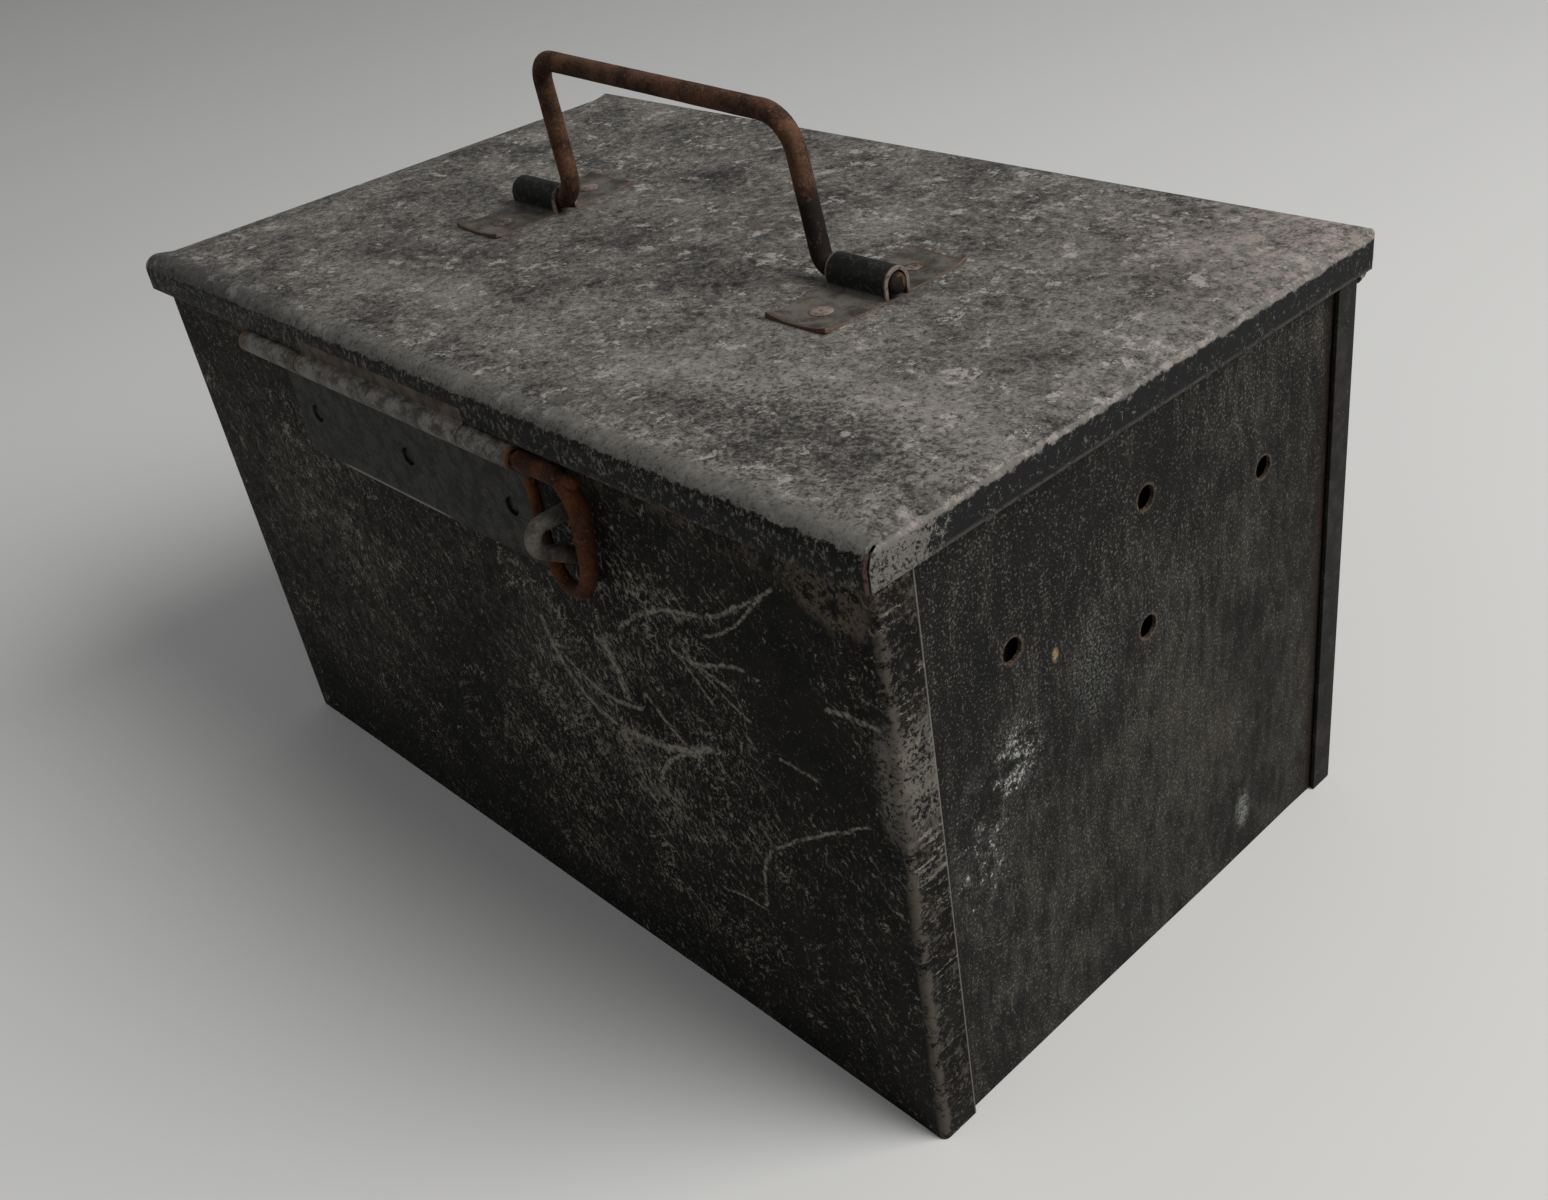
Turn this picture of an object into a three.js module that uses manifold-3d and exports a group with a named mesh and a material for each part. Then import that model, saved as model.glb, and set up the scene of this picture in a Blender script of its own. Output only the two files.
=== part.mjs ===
// A small sheet steel toolbox: a folded box, a lid on a full-length rear hinge, a wire carrying
// handle, a front latch closed by a lock pin whose loop drops over a padlock staple, and a tray.
// Millimetres, +Z up, origin at the middle of the underside, front face towards -Y.
import * as THREE from "three";
import { mergeVertices } from "three/addons/utils/BufferGeometryUtils.js";
import Module from "manifold-3d";

const wasm = await Module();
wasm.setup();

// Driving dimensions.
const LENGTH = 320;
const WIDTH = 183;
const SHEET = 1.2;
const GAP = 0.3; // clearance kept between neighbouring pieces
const LID_TOP = 177.7;
const LID_OVERHANG = 2.6;
const LID_FLANGE = 9.3;
const LID_BEND = 3.5; // outer radius of the lid's front edge
const CORNER_BEND = 2; // outer radius of the box's upright corners
const FRONT_WRAP = 12; // how far the front sheet turns round each end
const BACK_WRAP = 10;
const END_HOLE = 3.2; // radius
const END_HOLE_SPREAD = 50.5;
const END_HOLES_Z = [143.7, 106.8];
const END_SIDE_HOLES_Z = 128.5;

const LEAF = 0.8; // thickness of the rear hinge's leaves
const PIN = 1.6; // radius of the hinge pin and the lock pin
const BARREL = 3.25; // outer radius of every rolled knuckle
const KNUCKLE_GAP = 0.4;
const REAR_AXIS_Z = 166;
const REAR_HALF = 158;
const REAR_KNUCKLES = 5;
const REAR_LEAF_DROP = 17; // from the hinge axis to the body leaf's lower edge
const REAR_RIVET_DROP = 11;
const RIVET_SHANK = 1.8; // radius
const RIVET_HOLE = 2;

const LATCH_AXIS_Y = -95.6;
const LATCH_AXIS_Z = 164.8;
const LATCH_LID_LEAF_TOP = 172.3;
const LATCH_KNUCKLES = [-98, -64, 20, 42]; // ends of the three knuckles along X
const LATCH_LEAF_X = [-83.5, 40.5];
const LATCH_LEAF_LOW = 131;
const LATCH_RIVETS_X = [-72, -21.5, 29];
const LATCH_RIVET_Z = 146;

const LOOP_X = [44.8, 68.9];
const LOOP_LEAN = 2.8; // how far the right bar leans in towards the foot
const LOOP_LOW = 129.7;
const LOOP_FOOT = 11; // height over which the loop's lower end is rounded
const LOOP_BARS = [2.6, 4.8, 3.1]; // widths of the left bar, the right bar and the foot
const LOOP_SLEEVE = 2.8; // outer radius round the lock pin
const LOOP_THICK = 4;
const LOOP_CAP = 2.4; // solid metal left beyond the end of the lock pin
const STAPLE_X = 54.5;
const STAPLE_LEGS_Z = [152.7, 140];
const STAPLE_NOSE_LOW = 146.6; // where the lower leg starts to slope back to the wall
const STAPLE_REACH = 14.4;
const STAPLE_WIRE = 2.3; // radius
const STAPLE_BENDS = [3.3, 2.7, 1];

const WIRE = 3; // radius of the carrying handle's wire
const HANDLE_AXIS_Z = LID_TOP + 5;
const HANDLE_LEGS_X = [-54.2, 55.6];
const HANDLE_SHOULDERS = [[-58.4, 43.1], [49.6, 38.8]]; // each a place along X and a rise
const HANDLE_BENDS = [6.5, 5.5, 11, 4]; // from the left end to the right end
const HANDLE_END_X = 84;
const STRAP_X = 71.5;
const STRAP_WIDTH = 22;
const STRAP_HALF = 27;
const STRAP_RIVET_Y = 17;

const TRAY_HALF_X = 154.5;
const TRAY_HALF_Y = 87.3;
const TRAY_LOW = 116;
const TRAY_DEPTH = 32;
const TRAY_RIM = 3; // width of the tray's turned-in rim
const DIVIDER_TOP = 156;
const CROSS_X = 52;
const HAND_SLOT = [36, 9]; // half length between the round ends, and their radius
const BRACKET_Y = [30, 70];
const BRACKET_SHEET = 1.5;
const BRACKET_DROP = 12;
const BRACKET_SHELF = 13;

// Derived places.
const HALF_L = LENGTH / 2;
const HALF_W = WIDTH / 2;
const LID_IN = LID_TOP - SHEET; // underside of the lid's sheet
const RIM = LID_IN - GAP; // top edge of the box
const LID_X = HALF_L + LID_OVERHANG;
const LID_Y = HALF_W + LID_OVERHANG;
const LID_LOW = LID_TOP - LID_FLANGE;
const REAR_AXIS_Y = HALF_W + GAP + BARREL;
const END_OUT = HALF_L - SHEET - GAP; // outer face of an end panel
const END_IN = END_OUT - SHEET;

const COLOURS = {
  paint: { color: 0x26272a, roughness: 0.6, metalness: 0.4 },
  lidPaint: { color: 0x45454a, roughness: 0.65, metalness: 0.4 },
  wornSteel: { color: 0x8a857c, roughness: 0.5, metalness: 0.7 },
  rust: { color: 0x6a4636, roughness: 0.85, metalness: 0.2 },
  tray: { color: 0x35363a, roughness: 0.6, metalness: 0.4 },
};

// Solid helpers.
function manifoldOf(geometry) {
  const bare = geometry.clone();
  bare.deleteAttribute("normal");
  bare.deleteAttribute("uv");
  const merged = mergeVertices(bare, 1e-4);
  return new wasm.Manifold(
    new wasm.Mesh({
      numProp: 3,
      vertProperties: merged.attributes.position.array,
      triVerts: new Uint32Array(merged.index.array),
    }),
  );
}

function geometryOf(manifold) {
  const mesh = manifold.getMesh();
  return new THREE.BufferGeometry()
    .setAttribute("position", new THREE.BufferAttribute(mesh.vertProperties, 3))
    .setIndex(new THREE.BufferAttribute(mesh.triVerts, 1));
}

const join = (...pieces) =>
  geometryOf(pieces.map(manifoldOf).reduce((a, b) => a.add(b)));

const cut = (piece, ...tools) =>
  geometryOf(tools.map(manifoldOf).reduce((a, b) => a.subtract(b), manifoldOf(piece)));

function block([x0, x1], [y0, y1], [z0, z1]) {
  const box = new THREE.BoxGeometry(x1 - x0, y1 - y0, z1 - z0);
  return box.translate((x0 + x1) / 2, (y0 + y1) / 2, (z0 + z1) / 2);
}

// A shape drawn in (y, z) and pulled along X.
function alongX(shape, [x0, x1], curveSegments = 8) {
  const basis = new THREE.Matrix4().makeBasis(
    new THREE.Vector3(0, 1, 0),
    new THREE.Vector3(0, 0, 1),
    new THREE.Vector3(1, 0, 0),
  );
  const pulled = new THREE.ExtrudeGeometry(shape, {
    depth: x1 - x0,
    bevelEnabled: false,
    curveSegments,
  });
  return pulled.applyMatrix4(basis).translate(x0, 0, 0);
}

function alongZ(shape, [z0, z1], curveSegments = 6) {
  const pulled = new THREE.ExtrudeGeometry(shape, {
    depth: z1 - z0,
    bevelEnabled: false,
    curveSegments,
  });
  return pulled.translate(0, 0, z0);
}

function circle(radius, y = 0, z = 0) {
  const shape = new THREE.Shape();
  shape.absarc(y, z, radius, 0, 2 * Math.PI);
  return shape;
}

const rodX = (radius, span, y, z) => alongX(circle(radius, y, z), span, 20);

function rodY(radius, [y0, y1], x, z) {
  const rod = new THREE.CylinderGeometry(radius, radius, y1 - y0, 20);
  return rod.translate(x, (y0 + y1) / 2, z);
}

function rodZ(radius, [z0, z1], x, y) {
  const rod = new THREE.CylinderGeometry(radius, radius, z1 - z0, 20);
  return rod.rotateX(Math.PI / 2).translate(x, y, (z0 + z1) / 2);
}

// A wire of round section through the given points, with one bend for each inner one.
function wire(points, bends, radius, steps) {
  const path = new THREE.CurvePath();
  let from = points[0];
  for (let i = 1; i < points.length - 1; i++) {
    const before = points[i].clone().sub(points[i - 1]).normalize();
    const after = points[i + 1].clone().sub(points[i]).normalize();
    const enter = points[i].clone().addScaledVector(before, -bends[i - 1]);
    const leave = points[i].clone().addScaledVector(after, bends[i - 1]);
    path.add(new THREE.LineCurve3(from, enter));
    path.add(new THREE.QuadraticBezierCurve3(enter, points[i], leave));
    from = leave;
  }
  path.add(new THREE.LineCurve3(from, points.at(-1)));
  return new THREE.ExtrudeGeometry(circle(radius), {
    steps,
    extrudePath: path,
    curveSegments: 6,
  });
}

// A rivet along +Z through a grip of sheet from 0 down to -grip, head up.
function rivet(shank, head, headHeight, grip) {
  const tail = shank * 1.5;
  const profile = [
    [0, -grip - 0.9],
    [tail * 0.7, -grip - 0.9],
    [tail, -grip - 0.1],
    [shank, -grip - 0.1],
    [shank, 0.1],
    [head, 0.1],
    [head * 0.75, headHeight],
    [0, headHeight],
  ];
  const points = profile.map(([r, z]) => new THREE.Vector2(r, z));
  return new THREE.LatheGeometry(points, 16).rotateX(Math.PI / 2);
}

function mesh(name, geometry, colour) {
  const made = new THREE.Mesh(geometry, new THREE.MeshStandardMaterial(COLOURS[colour]));
  made.name = name;
  return made;
}

// The box. A folded sheet seen from above: a long wall with a strip turned round each end.
function wrappedWall(wrap) {
  const turned = -HALF_W + wrap;
  const inner = CORNER_BEND - SHEET;
  const shape = new THREE.Shape();
  shape.moveTo(-HALF_L, turned);
  shape.lineTo(-HALF_L, -HALF_W + CORNER_BEND);
  shape.absarc(-HALF_L + CORNER_BEND, -HALF_W + CORNER_BEND, CORNER_BEND, Math.PI, 1.5 * Math.PI);
  shape.absarc(HALF_L - CORNER_BEND, -HALF_W + CORNER_BEND, CORNER_BEND, -Math.PI / 2, 0);
  shape.lineTo(HALF_L, turned);
  shape.lineTo(HALF_L - SHEET, turned);
  shape.absarc(HALF_L - CORNER_BEND, -HALF_W + CORNER_BEND, inner, 0, -Math.PI / 2, true);
  shape.absarc(-HALF_L + CORNER_BEND, -HALF_W + CORNER_BEND, inner, -Math.PI / 2, -Math.PI, true);
  shape.lineTo(-HALF_L + SHEET, turned);
  return alongZ(shape, [0, RIM]);
}

function frontPanel() {
  const through = [-HALF_W - 1, -HALF_W + SHEET + 1];
  const rivetHoles = LATCH_RIVETS_X.map((x) => rodY(RIVET_HOLE, through, x, LATCH_RIVET_Z));
  const stapleHoles = STAPLE_LEGS_Z.map((z) => rodY(STAPLE_WIRE + GAP, through, STAPLE_X, z));
  return cut(wrappedWall(FRONT_WRAP), ...rivetHoles, ...stapleHoles);
}

function rearRivetPlaces() {
  const pitch = (2 * REAR_HALF) / REAR_KNUCKLES;
  return [-1.5, -0.5, 0.5, 1.5].map((step) => step * pitch);
}

function backPanel() {
  const wall = wrappedWall(BACK_WRAP).rotateZ(Math.PI);
  const through = [HALF_W - SHEET - 1, HALF_W + 1];
  const holes = rearRivetPlaces().map((x) => rodY(RIVET_HOLE, through, x, REAR_AXIS_Z - REAR_RIVET_DROP));
  return cut(wall, ...holes);
}

function endPanel(side) {
  const faces = [side * END_IN, side * END_OUT].sort((a, b) => a - b);
  const reach = HALF_W - SHEET - GAP;
  const through = [faces[0] - 1, faces[1] + 1];
  const holes = [
    ...END_HOLES_Z.map((z) => rodX(END_HOLE, through, 0, z)),
    ...[-1, 1].map((way) => rodX(END_HOLE, through, way * END_HOLE_SPREAD, END_SIDE_HOLES_Z)),
  ];
  return cut(block(faces, [-reach, reach], [0, RIM]), ...holes);
}

function bottomPanel() {
  const x = END_IN - GAP;
  const y = HALF_W - SHEET - GAP;
  return block([-x, x], [-y, y], [0, SHEET]);
}

// An angle bracket welded to an end panel, with its shelf under the tray.
function trayBracket(side, way) {
  const wall = END_IN - GAP;
  const span = BRACKET_Y.map((y) => y * way).sort((a, b) => a - b);
  const top = TRAY_LOW - GAP;
  const pair = (a, b) => [side * a, side * b].sort((p, q) => p - q);
  const upright = block(pair(wall - BRACKET_SHEET, wall), span, [top - BRACKET_DROP, top]);
  const shelf = block(pair(wall - BRACKET_SHELF, wall), span, [top - BRACKET_SHEET, top]);
  return join(upright, shelf);
}

// A leaf with rolled knuckles on the axis (y, z). face is the leaf's side nearest the box, and the
// leaf reaches from the axis to the height far. Away from its own knuckles it is notched clear.
function hingeLeaf(span, knuckles, face, y, z, far, thick) {
  const toward = Math.sign(face - y);
  const sides = [face, face - toward * thick].sort((a, b) => a - b);
  const up = Math.sign(far - z);
  const clear = z + up * (BARREL + KNUCKLE_GAP);
  const plate = block(span, sides, [Math.min(clear, far), Math.max(clear, far)]);
  const parts = [plate];
  for (const knuckle of knuckles) {
    const tongue = [Math.max(knuckle[0], span[0]), Math.min(knuckle[1], span[1])];
    const root = z + up * PIN;
    const over = clear + up * 0.5;
    parts.push(block(tongue, sides, [Math.min(root, over), Math.max(root, over)]));
    parts.push(block(tongue, sides, [Math.min(z, root + up * 0.1), Math.max(z, root + up * 0.1)]));
    parts.push(rodX(BARREL, knuckle, y, z));
  }
  const bore = rodX(PIN + GAP, [knuckles[0][0] - 1, knuckles.at(-1)[1] + 1], y, z);
  return cut(join(...parts), bore);
}

function rearKnuckles(parity) {
  const pitch = (2 * REAR_HALF) / REAR_KNUCKLES;
  const all = Array.from({ length: REAR_KNUCKLES }, (_, i) => [
    -REAR_HALF + i * pitch + KNUCKLE_GAP / 2,
    -REAR_HALF + (i + 1) * pitch - KNUCKLE_GAP / 2,
  ]);
  return all.filter((_, i) => i % 2 === parity);
}

function rearBodyLeaf() {
  const face = HALF_W + GAP;
  const span = [-REAR_HALF, REAR_HALF];
  const low = REAR_AXIS_Z - REAR_LEAF_DROP;
  const leaf = hingeLeaf(span, rearKnuckles(0), face, REAR_AXIS_Y, REAR_AXIS_Z, low, LEAF);
  const through = [face - 1, face + LEAF + 1];
  const holes = rearRivetPlaces().map((x) =>
    rodY(RIVET_HOLE, through, x, REAR_AXIS_Z - REAR_RIVET_DROP),
  );
  return cut(leaf, ...holes);
}

function rearLidLeaf() {
  const span = [-REAR_HALF, REAR_HALF];
  return hingeLeaf(span, rearKnuckles(1), HALF_W + GAP, REAR_AXIS_Y, REAR_AXIS_Z, LID_IN - 1, LEAF);
}

function latchKnuckle(i) {
  return [LATCH_KNUCKLES[i] + KNUCKLE_GAP / 2, LATCH_KNUCKLES[i + 1] - KNUCKLE_GAP / 2];
}

function latchBodyLeaf() {
  const face = -HALF_W - GAP;
  const knuckles = [latchKnuckle(0), latchKnuckle(2)];
  const leaf = hingeLeaf(LATCH_LEAF_X, knuckles, face, LATCH_AXIS_Y, LATCH_AXIS_Z, LATCH_LEAF_LOW, SHEET);
  const through = [face - SHEET - 1, face + 1];
  const holes = LATCH_RIVETS_X.map((x) => rodY(RIVET_HOLE, through, x, LATCH_RIVET_Z));
  return cut(leaf, ...holes);
}

function latchLidLeaf() {
  const span = latchKnuckle(1);
  const face = -LID_Y - GAP;
  return hingeLeaf(span, [span], face, LATCH_AXIS_Y, LATCH_AXIS_Z, LATCH_LID_LEAF_TOP, 1);
}

// An eye for a padlock: a bent wire whose two legs pass through the front wall and are clinched
// behind it. The upper leg stands straight out, and the lower one slopes back to the wall.
function stapleShape() {
  const inside = -HALF_W + SHEET + 0.6;
  const outside = -HALF_W - 1.2;
  const nose = -HALF_W - STAPLE_REACH + STAPLE_WIRE;
  const [upper, lower] = STAPLE_LEGS_Z;
  const place = (y, z) => new THREE.Vector3(STAPLE_X, y, z);
  const points = [
    place(inside, upper),
    place(nose, upper),
    place(nose, STAPLE_NOSE_LOW),
    place(outside, lower),
    place(inside, lower),
  ];
  const ring = wire(points, STAPLE_BENDS, STAPLE_WIRE, 40);
  const clinch = -HALF_W + SHEET + 0.2;
  const heads = STAPLE_LEGS_Z.map((z) =>
    rodY(STAPLE_WIRE + 0.9, [clinch, clinch + 0.9], STAPLE_X, z),
  );
  return join(ring, ...heads);
}

// The lock pin: a rod through the latch knuckles that ends inside the loop's closed shoulder.
const lockPin = () =>
  rodX(PIN, [LATCH_KNUCKLES[0] + 1, LOOP_X[1] - LOOP_CAP - GAP], LATCH_AXIS_Y, LATCH_AXIS_Z);

// A flat ring seen from the front, drawn inset from the loop's outer edges. Its right side leans
// in towards the foot.
function ringOutline(shape, roof, insetLeft, insetRight, insetFoot) {
  const left = LOOP_X[0] + insetLeft;
  const right = LOOP_X[1] - insetRight;
  const low = LOOP_LOW + insetFoot;
  const shoulder = LOOP_LOW + LOOP_FOOT;
  const rightFoot = right - LOOP_LEAN;
  const middle = (left + rightFoot) / 2;
  shape.moveTo(left, roof);
  shape.lineTo(left, shoulder);
  shape.quadraticCurveTo(left + 0.5, low, middle, low);
  shape.quadraticCurveTo(rightFoot - 0.5, low, rightFoot, shoulder);
  shape.lineTo(right, roof);
  return shape;
}

// The loop that swings on the lock pin: a long ring whose top bar is bored for the rod.
function pinLoop() {
  const [leftBar, rightBar, footBar] = LOOP_BARS;
  const outline = ringOutline(new THREE.Shape(), LATCH_AXIS_Z, 0, 0, 0);
  const roof = LATCH_AXIS_Z - LOOP_SLEEVE - 1;
  outline.holes.push(ringOutline(new THREE.Path(), roof, leftBar, rightBar, footBar));
  const plate = new THREE.ExtrudeGeometry(outline, {
    depth: LOOP_THICK,
    bevelEnabled: false,
    curveSegments: 10,
  });
  plate.rotateX(Math.PI / 2).translate(0, LATCH_AXIS_Y + LOOP_THICK / 2, 0);
  const start = LATCH_KNUCKLES.at(-1) + GAP;
  const bar = rodX(LOOP_SLEEVE, [start, LOOP_X[1]], LATCH_AXIS_Y, LATCH_AXIS_Z);
  const bore = rodX(PIN + GAP, [start - 1, LOOP_X[1] - LOOP_CAP], LATCH_AXIS_Y, LATCH_AXIS_Z);
  return cut(join(plate, bar), bore);
}

// The lid: one sheet bent down at the front and back, with a flange at each end.
function lidShell() {
  const rearLow = REAR_AXIS_Z + BARREL + GAP;
  const bend = LID_BEND;
  const inner = bend - SHEET;
  const shape = new THREE.Shape();
  shape.moveTo(-LID_Y, LID_LOW);
  shape.lineTo(-LID_Y + SHEET, LID_LOW);
  shape.absarc(-LID_Y + bend, LID_TOP - bend, inner, Math.PI, Math.PI / 2, true);
  shape.lineTo(LID_Y - SHEET, LID_IN);
  shape.lineTo(LID_Y - SHEET, rearLow);
  shape.lineTo(LID_Y, rearLow);
  shape.absarc(LID_Y - 1.5, LID_TOP - 1.5, 1.5, 0, Math.PI / 2);
  shape.absarc(-LID_Y + bend, LID_TOP - bend, bend, Math.PI / 2, Math.PI);
  const cover = alongX(shape, [-LID_X, LID_X]);
  const flanges = [-1, 1].map((side) => {
    const faces = [side * (LID_X - SHEET), side * LID_X].sort((a, b) => a - b);
    return block(faces, [-LID_Y + SHEET / 2, LID_Y - SHEET / 2], [LID_LOW, LID_TOP - bend]);
  });
  const closing = [-1, 1].map((side) => {
    const faces = [side * (LID_X - SHEET), side * LID_X].sort((a, b) => a - b);
    return block(faces, [-LID_Y + bend, LID_Y - SHEET], [LID_TOP - bend - 1, LID_IN + 0.5]);
  });
  const rivetHoles = strapRivetPlaces().map(([x, y]) => rodZ(RIVET_HOLE, [LID_IN - 1, LID_TOP + 1], x, y));
  return cut(join(cover, ...flanges, ...closing), ...rivetHoles);
}

function strapRivetPlaces() {
  return [-1, 1].flatMap((side) => [-1, 1].map((way) => [side * STRAP_X, way * STRAP_RIVET_Y]));
}

// A strap with a half-round loop over the handle's wire.
function handleStrap(side) {
  const low = LID_TOP + GAP;
  const axis = HANDLE_AXIS_Z;
  const inner = WIRE + 0.35;
  const outer = inner + SHEET;
  const shape = new THREE.Shape();
  shape.moveTo(-STRAP_HALF, low);
  shape.lineTo(-inner, low);
  shape.lineTo(-inner, axis);
  shape.absarc(0, axis, inner, Math.PI, 0, true);
  shape.lineTo(inner, low);
  shape.lineTo(STRAP_HALF, low);
  shape.lineTo(STRAP_HALF, low + SHEET);
  shape.lineTo(outer, low + SHEET);
  shape.absarc(0, axis, outer, 0, Math.PI);
  shape.lineTo(-outer, low + SHEET);
  shape.lineTo(-STRAP_HALF, low + SHEET);
  const span = [side * STRAP_X - STRAP_WIDTH / 2, side * STRAP_X + STRAP_WIDTH / 2];
  const holes = [-1, 1].map((way) =>
    rodZ(RIVET_HOLE, [low - 1, low + 3], side * STRAP_X, way * STRAP_RIVET_Y),
  );
  return cut(alongX(shape, span, 14), ...holes);
}

function carryHandle() {
  const place = (x, rise) => new THREE.Vector3(x, 0, HANDLE_AXIS_Z + rise);
  const [leftLeg, rightLeg] = HANDLE_LEGS_X;
  const points = [
    place(-HANDLE_END_X, 0),
    place(leftLeg, 0),
    ...HANDLE_SHOULDERS.map(([x, rise]) => place(x, rise)),
    place(rightLeg, 0),
    place(HANDLE_END_X, 0),
  ];
  return wire(points, HANDLE_BENDS, WIRE, 84);
}

// The tray: a folded pan with a turned-in rim, a long divider with a hand slot, and partitions.
function trayPan() {
  const top = TRAY_LOW + TRAY_DEPTH;
  const outer = block([-TRAY_HALF_X, TRAY_HALF_X], [-TRAY_HALF_Y, TRAY_HALF_Y], [TRAY_LOW, top]);
  const wellX = TRAY_HALF_X - SHEET;
  const wellY = TRAY_HALF_Y - SHEET;
  const well = block([-wellX, wellX], [-wellY, wellY], [TRAY_LOW + SHEET, top - SHEET]);
  const mouthX = TRAY_HALF_X - TRAY_RIM;
  const mouthY = TRAY_HALF_Y - TRAY_RIM;
  const mouth = block([-mouthX, mouthX], [-mouthY, mouthY], [top - SHEET - 1, top + 1]);
  return cut(outer, well, mouth);
}

function longDivider() {
  const x = TRAY_HALF_X - TRAY_RIM - GAP;
  const low = TRAY_LOW + SHEET + GAP;
  const plate = block([-x, x], [-SHEET / 2, SHEET / 2], [low, DIVIDER_TOP]);
  const slot = new THREE.Shape();
  const middle = DIVIDER_TOP - 14;
  const [half, radius] = HAND_SLOT;
  slot.absarc(-half, middle, radius, Math.PI / 2, 1.5 * Math.PI);
  slot.absarc(half, middle, radius, -Math.PI / 2, Math.PI / 2);
  const tool = new THREE.ExtrudeGeometry(slot, { depth: 4, bevelEnabled: false, curveSegments: 10 });
  return cut(plate, tool.rotateX(Math.PI / 2).translate(0, 2, 0));
}

function crossDivider(side) {
  const x = [side * CROSS_X - SHEET / 2, side * CROSS_X + SHEET / 2];
  const y = [-TRAY_HALF_Y + TRAY_RIM + GAP, -SHEET / 2 - GAP];
  return block(x, y, [TRAY_LOW + SHEET + GAP, TRAY_LOW + TRAY_DEPTH - 1]);
}

// Assembly.
const toolbox = new THREE.Group();

toolbox.add(
  mesh("front_panel", frontPanel(), "paint"),
  mesh("back_panel", backPanel(), "paint"),
  mesh("bottom_panel", bottomPanel(), "paint"),
  mesh("lid_shell", lidShell(), "lidPaint"),
  mesh("rear_hinge_body_leaf", rearBodyLeaf(), "paint"),
  mesh("rear_hinge_lid_leaf", rearLidLeaf(), "paint"),
  mesh("latch_body_leaf", latchBodyLeaf(), "paint"),
  mesh("latch_lid_leaf", latchLidLeaf(), "wornSteel"),
  mesh("padlock_staple", stapleShape(), "wornSteel"),
  mesh("lock_pin", lockPin(), "rust"),
  mesh("lock_pin_loop", pinLoop(), "rust"),
  mesh("carry_handle", carryHandle(), "rust"),
  mesh("tray_pan", trayPan(), "tray"),
  mesh("tray_long_divider", longDivider(), "tray"),
);

const rearPin = rodX(PIN, [-REAR_HALF - 1, REAR_HALF + 1], REAR_AXIS_Y, REAR_AXIS_Z);
toolbox.add(mesh("rear_hinge_pin", rearPin, "wornSteel"));

for (const [side, sideName] of [[-1, "left"], [1, "right"]]) {
  toolbox.add(mesh(`${sideName}_end_panel`, endPanel(side), "paint"));
  toolbox.add(mesh(`handle_strap_${sideName}`, handleStrap(side), "wornSteel"));
  toolbox.add(mesh(`tray_cross_divider_${sideName}`, crossDivider(side), "tray"));
  for (const [way, wayName] of [[-1, "front"], [1, "back"]]) {
    toolbox.add(mesh(`tray_bracket_${sideName}_${wayName}`, trayBracket(side, way), "paint"));
    const strapRivet = mesh(
      `strap_rivet_${sideName}_${wayName}`,
      rivet(RIVET_SHANK, 3.4, 0.7, LID_TOP + GAP + SHEET - LID_IN),
      "rust",
    );
    strapRivet.position.set(side * STRAP_X, way * STRAP_RIVET_Y, LID_TOP + GAP + SHEET);
    toolbox.add(strapRivet);
  }
}

LATCH_RIVETS_X.forEach((x, i) => {
  const made = mesh(`latch_rivet_${i + 1}`, rivet(RIVET_SHANK, 3, 0.6, 2 * SHEET + GAP), "wornSteel");
  made.position.set(x, -HALF_W - GAP - SHEET, LATCH_RIVET_Z);
  made.rotation.x = Math.PI / 2;
  toolbox.add(made);
});

rearRivetPlaces().forEach((x, i) => {
  const shape = rivet(RIVET_SHANK, 3, 0.9, SHEET + LEAF + GAP);
  const made = mesh(`rear_hinge_rivet_${i + 1}`, shape, "wornSteel");
  made.position.set(x, HALF_W + GAP + LEAF, REAR_AXIS_Z - REAR_RIVET_DROP);
  made.rotation.x = -Math.PI / 2;
  toolbox.add(made);
});

export default toolbox;
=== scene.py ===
# A worn sheet steel toolbox: folded sheets, rolled hinges, bent wire, chipped paint and rust.
import math

import bpy
from mathutils import Matrix, Vector, noise


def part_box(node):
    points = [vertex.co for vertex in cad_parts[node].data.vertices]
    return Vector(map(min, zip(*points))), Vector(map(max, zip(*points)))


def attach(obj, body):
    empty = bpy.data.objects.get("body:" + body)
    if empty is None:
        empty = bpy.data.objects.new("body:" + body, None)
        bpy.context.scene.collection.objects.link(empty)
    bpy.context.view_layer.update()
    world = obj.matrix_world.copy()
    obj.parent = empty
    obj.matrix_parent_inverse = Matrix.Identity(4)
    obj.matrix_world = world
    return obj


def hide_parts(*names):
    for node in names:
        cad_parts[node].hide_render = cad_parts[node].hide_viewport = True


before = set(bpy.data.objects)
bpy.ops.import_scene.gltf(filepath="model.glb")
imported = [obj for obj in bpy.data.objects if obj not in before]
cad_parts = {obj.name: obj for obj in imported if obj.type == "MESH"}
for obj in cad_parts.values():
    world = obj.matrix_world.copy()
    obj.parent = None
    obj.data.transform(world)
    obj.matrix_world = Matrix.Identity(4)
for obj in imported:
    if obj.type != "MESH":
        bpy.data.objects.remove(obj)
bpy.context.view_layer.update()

scene = bpy.context.scene
mm = 0.001
xAxis, yAxis, zAxis = Vector((1, 0, 0)), Vector((0, 1, 0)), Vector((0, 0, 1))

lidLow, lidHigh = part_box("lid_shell")
frontLow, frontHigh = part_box("front_panel")
wallY, wallX, rim = -frontLow.y, frontHigh.x, frontHigh.z
sheet = 1.2 * mm  # the box's and the lid's steel


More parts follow.
